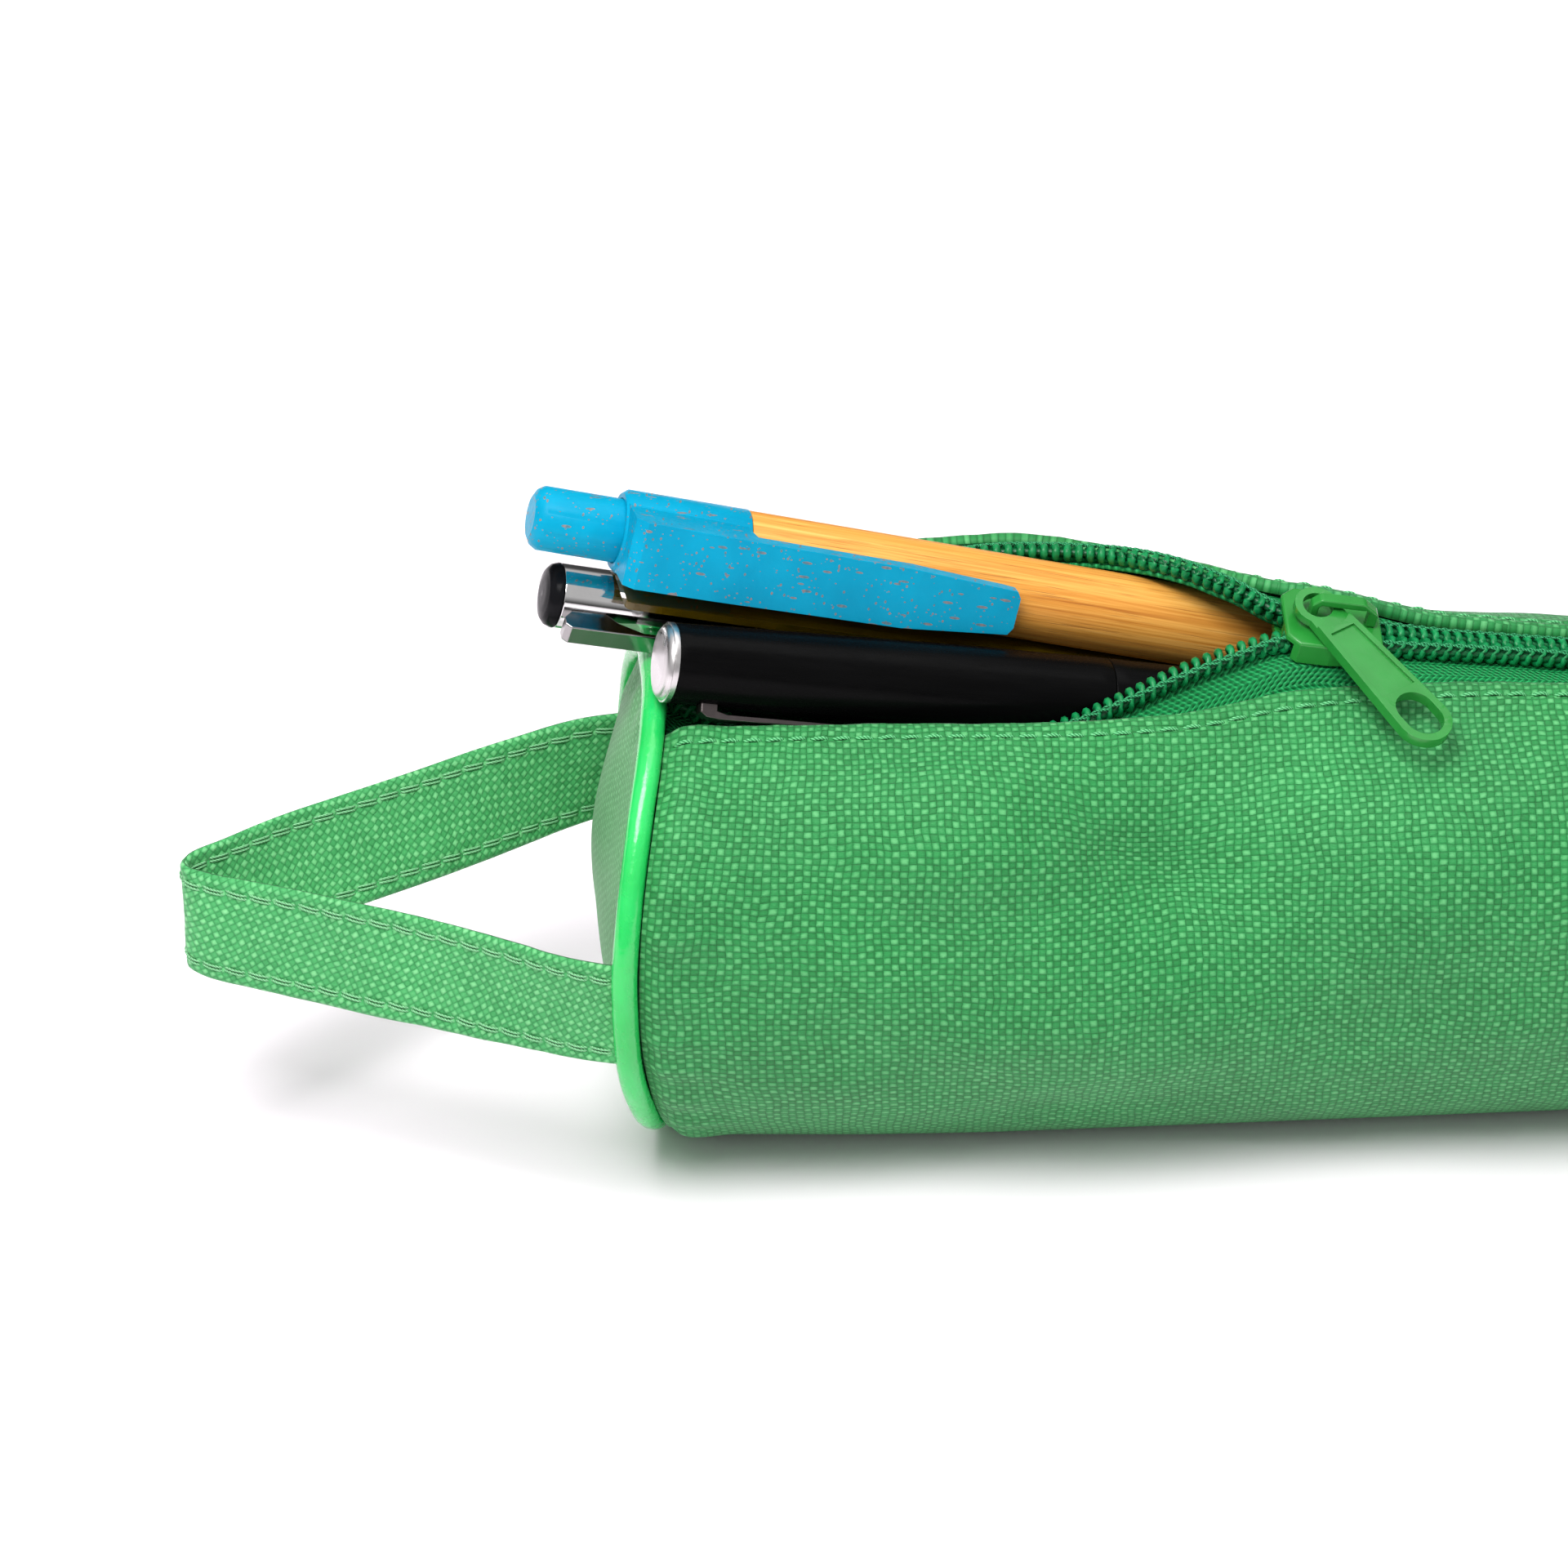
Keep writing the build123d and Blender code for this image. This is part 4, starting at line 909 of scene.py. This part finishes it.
def end_disc(name, x, sign, dome):
    """A round end panel that the contents push out, dimpled a little, with its cloth turned in at the rim."""
    rim = PIPING_RING - PIPING_RADIUS - 0.1
    bulge = (rim**2 + dome**2) / (2 * dome)
    rings, spokes = 46, 120
    verts, uvs = [], []
    # the outer face, then the inner one
    for layer in (0, 1):
        for i in range(rings):
            r = rim * (i + 0.02) / (rings - 0.98)
            rise = math.sqrt(bulge**2 - r**2) - (bulge - dome)
            edge = 1 - float(soft(rim - r, 0.0, 6.0))
            for j in range(spokes):
                a = 2 * PI * j / spokes
                y, z = r * math.cos(a), r * math.sin(a)
                dent = 0.7 * noise.noise((y / 16, z / 16, 4.0 + sign)) * (1 - edge)
                wave = math.cos(a * PUCKERS + 2 * noise.noise((a * 2, sign, 0)))
                pucker = 0.28 * wave * edge * (1 - edge) * 4
                height = rise + (dent + pucker + 0.25 * edge if layer == 0 else -FABRIC)
                verts.append((x + sign * max(height, 0.05), y, RIM_HEIGHT + z))
                uvs.append((y, z))
    count = rings * spokes
    faces = grid_faces(rings, spokes, 0, flip=sign > 0, close=True)
    which = [0] * len(faces) + [1] * len(faces)
    faces += grid_faces(rings, spokes, count, flip=sign < 0, close=True)
    last = (rings - 1) * spokes
    for j in range(spokes):
        k = (j + 1) % spokes
        faces.append((last + j, last + k, last + k + count, last + j + count))
    # the small middle of each face
    faces.append(tuple(range(spokes))[::sign])
    faces.append(tuple(range(count, count + spokes))[::-sign])
    which += [0] * spokes + [0, 1]
    obj = piece(f"{name}_end_cloth", verts, faces, [M_END, M_LINING], "end_cloth", uvs, which)
    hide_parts(f"{name}_end_disc")


def piping(name, x):
    """The vinyl cord round an end, pulled slightly in and out by its seam."""
    steps, sides = 220, 14
    verts = []
    for i in range(steps):
        a = 2 * PI * i / steps
        wave = 0.16 * noise.noise((math.cos(a) * 2.2, math.sin(a) * 2.2, x / 50))
        ring = PIPING_RING + min(wave, 0.0)
        shift = 0.22 * noise.noise((math.cos(a) * 3, math.sin(a) * 3, 9 + x / 50))
        for j in range(sides):
            b = 2 * PI * j / sides
            r = ring + PIPING_RADIUS * math.cos(b)
            across = x + shift + PIPING_RADIUS * math.sin(b)
            verts.append((across, r * math.cos(a), RIM_HEIGHT + r * math.sin(a)))
    faces = []
    for i in range(steps):
        k = (i + 1) % steps
        for j in range(sides):
            m = (j + 1) % sides
            faces.append((i * sides + j, k * sides + j, k * sides + m, i * sides + m))
    obj = piece(f"{name}_end_piping_cord", verts, faces, [M_PIPING], "piping")
    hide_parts(f"{name}_end_piping")


# Middle of the handle loop's strap (x, y and height), and how far it leans back, in degrees.
STRAP_ROUTE = np.array([
    (-98.7, -29.6, 31.2, 0), (-106.0, -27.4, 31.4, 3), (-116.0, -23.2, 31.8, 9), (-126.0, -19.2, 32.2, 14),
    (-136.0, -15.0, 32.5, 16), (-146.0, -11.0, 32.8, 14), (-152.3, -8.4, 33.0, 10), (-154.4, -6.2, 33.1, 10),
    (-153.6, -3.8, 33.2, 14), (-149.0, -1.2, 33.3, 24), (-142.0, 3.6, 33.3, 32), (-134.0, 8.4, 33.2, 36),
    (-124.0, 14.6, 33.0, 34), (-114.0, 21.2, 32.8, 26), (-105.0, 26.8, 32.6, 14), (-98.7, 29.6, 32.4, 4),
])
STRAP_STITCHES = 2.0


def through(route, distance, at):
    """The smooth line through a route's rows (Catmull-Rom), at distances along it."""
    last = len(route) - 1
    out = []
    for d in at:
        i = int(np.clip(np.searchsorted(distance, d, "right") - 1, 0, last - 1))
        a, b, c, e = route[max(i - 1, 0)], route[i], route[i + 1], route[min(i + 2, last)]
        t = (d - distance[i]) / (distance[i + 1] - distance[i])
        curve = (2 * a - 5 * b + 4 * c - e) * t**2 + (3 * b - a - 3 * c + e) * t**3
        out.append(0.5 * (2 * b + (c - a) * t + curve))
    return np.array(out)


def strap():
    """The handle loop: a folded strip of the same cloth on edge, leaning back towards its tip."""
    distance = run_of(STRAP_ROUTE[:, :3])
    fine = np.arange(0, distance[-1], 0.7)
    spline = through(STRAP_ROUTE, distance, fine)
    centre, lean = spline[:, :3], np.radians(spline[:, 3])
    heading = unit(np.gradient(centre, axis=0))
    up = np.stack([0 * lean, np.sin(lean), np.cos(lean)], -1)
    up = unit(up - heading * (up * heading).sum(1, keepdims=True))
    out = np.cross(up, heading)
    half, thick = STRAP_WIDTH / 2, STRAP_THICKNESS / 2
    # cross-section: round folded edges, two grooves where it is stitched
    section = []
    for sign in (1, -1):
        for w in np.linspace(-1, 1, 33):
            across = half * w * sign
            groove = 0.16 * math.exp(-(((abs(across) - (half - STRAP_STITCHES)) / 0.35) ** 2))
            round_off = math.sqrt(max(0.0, 1 - max(0.0, (abs(w) - 0.955) / 0.045) ** 2))
            section.append((across, sign * (thick * (0.15 + 0.85 * round_off) - groove)))
    verts, uvs = [], []
    for i, (d, along) in enumerate(zip(fine, run_of(centre))):
        for w, t in section:
            crease = 0.30 * noise.noise((d / 9, w / 7, 3.3))
            crease += 0.12 * noise.noise((d / 3, w / 2.5, 1.3))
            curl = 0.25 * (w / half) ** 2 * math.sin(d / 14)
            verts.append(centre[i] + up[i] * w + out[i] * (t + crease + curl))
            # the yarns run on the bias, the other way on the inner face
            bias = 0.6 if t > 0 else 2.5
            cos, sin = math.cos(bias), math.sin(bias)
            uvs.append((along * cos - w * sin, along * sin + w * cos))
    columns = len(section)
    faces = grid_faces(len(fine), columns, close=True)
    faces.append(tuple(range(columns))[::-1])
    faces.append(tuple((len(fine) - 1) * columns + k for k in range(columns)))
    obj = piece("handle_loop_strap", verts, faces, [M_STRAP], "woven_cloth", uvs)
    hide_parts("handle_loop")
    build = Build()
    grid = np.array(verts).reshape(len(fine), columns, 3)
    for k, (w, t) in enumerate(section):
        if abs(abs(w) - (half - STRAP_STITCHES)) < 0.23:
            outward = out * (1 if t > 0 else -1)
            stitches(build, grid[2:-2, k], outward[2:-2], 2.7, 0.45, 0.15, sink=-0.09, slant=0.25)
    build.piece("handle_loop_stitches", [M_STRAP_THREAD], "woven_cloth")


panel()
zip_half("front", FRONT_ZIP, 0.0, -1)
zip_half("rear", REAR_ZIP, TOOTH_PITCH / 2, 1)
end_disc("handle", -HALF, -1, HANDLE_DOME)
end_disc("plain", HALF, 1, DOME_HEIGHT)
piping("handle", -HALF)
piping("plain", HALF)
strap()


# ======== CAD pieces ========
def copy_of(node, name, material, slot, **settings):
    """A CAD piece's mesh as a piece of its own, which takes its place."""
    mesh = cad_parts[node].data
    verts, faces = [v.co / MM for v in mesh.vertices], [tuple(f.vertices) for f in mesh.polygons]
    obj = piece(name, verts, faces, [material], slot, **settings)
    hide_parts(node)
    return obj


NODE_MATERIALS = {
    "slider_body": M_ENAMEL, "slider_bridge": M_ENAMEL, "pull_tab": M_ENAMEL,
    "bamboo_pen_barrel": bamboo("bamboo_grain"),
    "black_pen_end_plug": plated("satin_silver", (0.62, 0.60, 0.60), 0.30, BLACK, 2.0),
    "black_pen_clip": plated("dark_plate", (0.10, 0.085, 0.085), 0.32, BLACK),
    "black_pen_nose_cone": plated("nose_plate", (0.62, 0.60, 0.60), 0.22, BLACK),
    "black_pen_refill": plated("refill_brass", (0.75, 0.55, 0.25), 0.3, BLACK),
    "rollerball_cap_finial": lacquer("finial_black", (0.006, 0.006, 0.007), 0.2, CHROME),
    "rollerball_cap_tube": plated("bright_chrome", (0.72, 0.71, 0.71), 0.07, CHROME),
    "rollerball_cap_clip": plated("clip_chrome", (0.34, 0.33, 0.33), 0.17, CHROME),
    "rollerball_barrel": plated("barrel_chrome", (0.80, 0.80, 0.82), 0.08, CHROME),
    "rollerball_grip": lacquer("grip_black", (0.008, 0.008, 0.009), 0.45, CHROME),
    "rollerball_point": plated("point_brass", (0.75, 0.55, 0.25), 0.25, CHROME),
    "ruler": clear_amber("amber_sheet"),
    "bamboo_pen_refill_tube": moulding("ink_tube", (0.10, 0.14, 0.30), 0.25),
    "bamboo_pen_refill_point": plated("ball_point_brass", (0.78, 0.60, 0.28), 0.25, BAMBOO),
    **dict.fromkeys(
        ("bamboo_pen_push_button", "bamboo_pen_clip_collar", "bamboo_pen_nose_cone"),
        straw_plastic("straw_plastic"),
    ),
    **dict.fromkeys(
        ("black_pen_upper_barrel", "black_pen_lower_barrel"),
        lacquer("black_lacquer", (0.0014, 0.0014, 0.0015), 0.26, BLACK),
    ),
    **dict.fromkeys(
        ("bamboo_pen_cam_sleeve", "bamboo_pen_cam_rotor", "black_pen_twist_sleeve", "rollerball_cap_liner"),
        moulding("inner_moulding", (0.80, 0.80, 0.77)),
    ),
}
NODE_MATERIALS["plain_end_binding"] = SEAM_TAPE = seam_tape("seam_tape")
# the handle end's tape follows its bent ring
copy_of("handle_end_binding", "handle_end_seam_tape", SEAM_TAPE, "zip_tape", smooth=False)
# the return spring, which shortens as the refill comes forward, gets a mesh of its own on the pen
SPRING_WIRE = plated("spring_wire", (0.6, 0.6, 0.6), 0.25, BAMBOO)
spring = copy_of(
    "bamboo_pen_return_spring", "bamboo_pen_spring_coil", SPRING_WIRE, "spring_steel", body="bamboo_pen"
)
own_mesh(spring)
for node, material in NODE_MATERIALS.items():
    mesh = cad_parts[node].data
    mesh.materials.clear()
    mesh.materials.append(material)
    mesh.polygons.foreach_set("material_index", np.zeros(len(mesh.polygons), np.int32))

# How far the edges of moulded and cast pieces are rounded, in millimetres.
ROUNDED = {
    "slider_body": 0.35, "slider_bridge": 0.30, "pull_tab": 0.26,
    "bamboo_pen_push_button": 0.4, "bamboo_pen_clip_collar": 0.35, "bamboo_pen_barrel": 0.15,
    "black_pen_end_plug": 0.2, "black_pen_upper_barrel": 0.12, "black_pen_lower_barrel": 0.12,
    "black_pen_clip": 0.2,
    "rollerball_cap_finial": 0.25, "rollerball_cap_tube": 0.12, "rollerball_cap_clip": 0.2, "ruler": 0.12,
}
for node, width in ROUNDED.items():
    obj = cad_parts[node]
    weld = obj.modifiers.new("weld", "WELD")
    weld.merge_threshold = 1e-6
    round_edges = obj.modifiers.new("round_edges", "BEVEL")
    round_edges.width, round_edges.segments = width * MM, 3
    round_edges.limit_method, round_edges.angle_limit = "ANGLE", math.radians(32)
    round_edges.harden_normals = True


# ======== stage ========
def floor():
    mesh = bpy.data.meshes.new("floor")
    size = 6.0
    corners = [(-size, -size, 0), (size, -size, 0), (size, size, 0), (-size, size, 0)]
    mesh.from_pydata(corners, [], [(0, 1, 2, 3)])
    obj = placed("floor", mesh)
    s = Shader("floor_paper", roughness=0.9, specular=0.1, Emission_Color=(1, 1, 1, 1))
    # pink-tinted paper: painted so that the green light the case bounces onto it leaves grey shadows
    s.colour((0.96, 0.89, 0.945))
    # the paper glows, more and more away from the object: painted light that keeps the backdrop white while
    # the shade near the case stays
    metres = s.times(s.node("VectorMath", s.place(), operation="LENGTH").outputs["Value"], MM)
    s.feed(s.bsdf.inputs["Emission Strength"], s.ramp(metres, (0.15, 0.0), (0.42, 0.45)))
    mesh.materials.append(s.material)


def area(name, place, target, size, power):
    light = bpy.data.lights.new(name, "AREA")
    light.energy, light.size = power, size
    obj = placed(name, light)
    obj.location = place
    obj.rotation_euler = (Vector(target) - Vector(place)).to_track_quat("-Z", "Y").to_euler()


floor()
LIT = (-0.02, 0, 0.03)
area("key", (-0.26, -0.31, 0.81), LIT, 0.46, 8.0)
area("top", (0.15, 0.12, 0.95), LIT, 0.60, 2.2)
# a sky that is white above and grey at the horizon, where the grey reaches further up behind the case
world = bpy.data.worlds.new("studio")
bpy.context.scene.world = world
world.use_nodes = True
sky = Nodes(world.node_tree)
_, back, height = sky.split(sky.node("TexCoord").outputs["Generated"])
height = sky.add(sky.times(sky.math("MAXIMUM", back, 0.0), -0.6), height)
background = sky.tree.nodes["Background"].inputs
sky.feed(background[0], sky.ramp(height, (0.05, 0.12), (0.36, 1.0)))
background[1].default_value = 0.62
bpy.context.scene.view_settings.view_transform = "Standard"

# ======== camera ========
ELEVATION, AZIMUTH, ROLL = 30.85, 3.34, 0.32
PLACE = Vector((-0.1103, -0.5321, 0.3640))
e, a, r = math.radians(ELEVATION), math.radians(AZIMUTH), math.radians(ROLL)
forward = Vector((math.sin(a) * math.cos(e), math.cos(a) * math.cos(e), -math.sin(e)))
level = Vector((math.cos(a), -math.sin(a), 0))
rise = level.cross(forward)
right, up = level * math.cos(r) - rise * math.sin(r), rise * math.cos(r) + level * math.sin(r)
camera = placed("camera", bpy.data.cameras.new("camera"))
camera.data.lens, camera.data.sensor_width = 113.0, 36.0
camera.data.clip_start = 0.05
camera.matrix_world = Matrix.Translation(PLACE) @ Matrix((right, up, -forward)).transposed().to_4x4()
bpy.context.scene.camera = camera
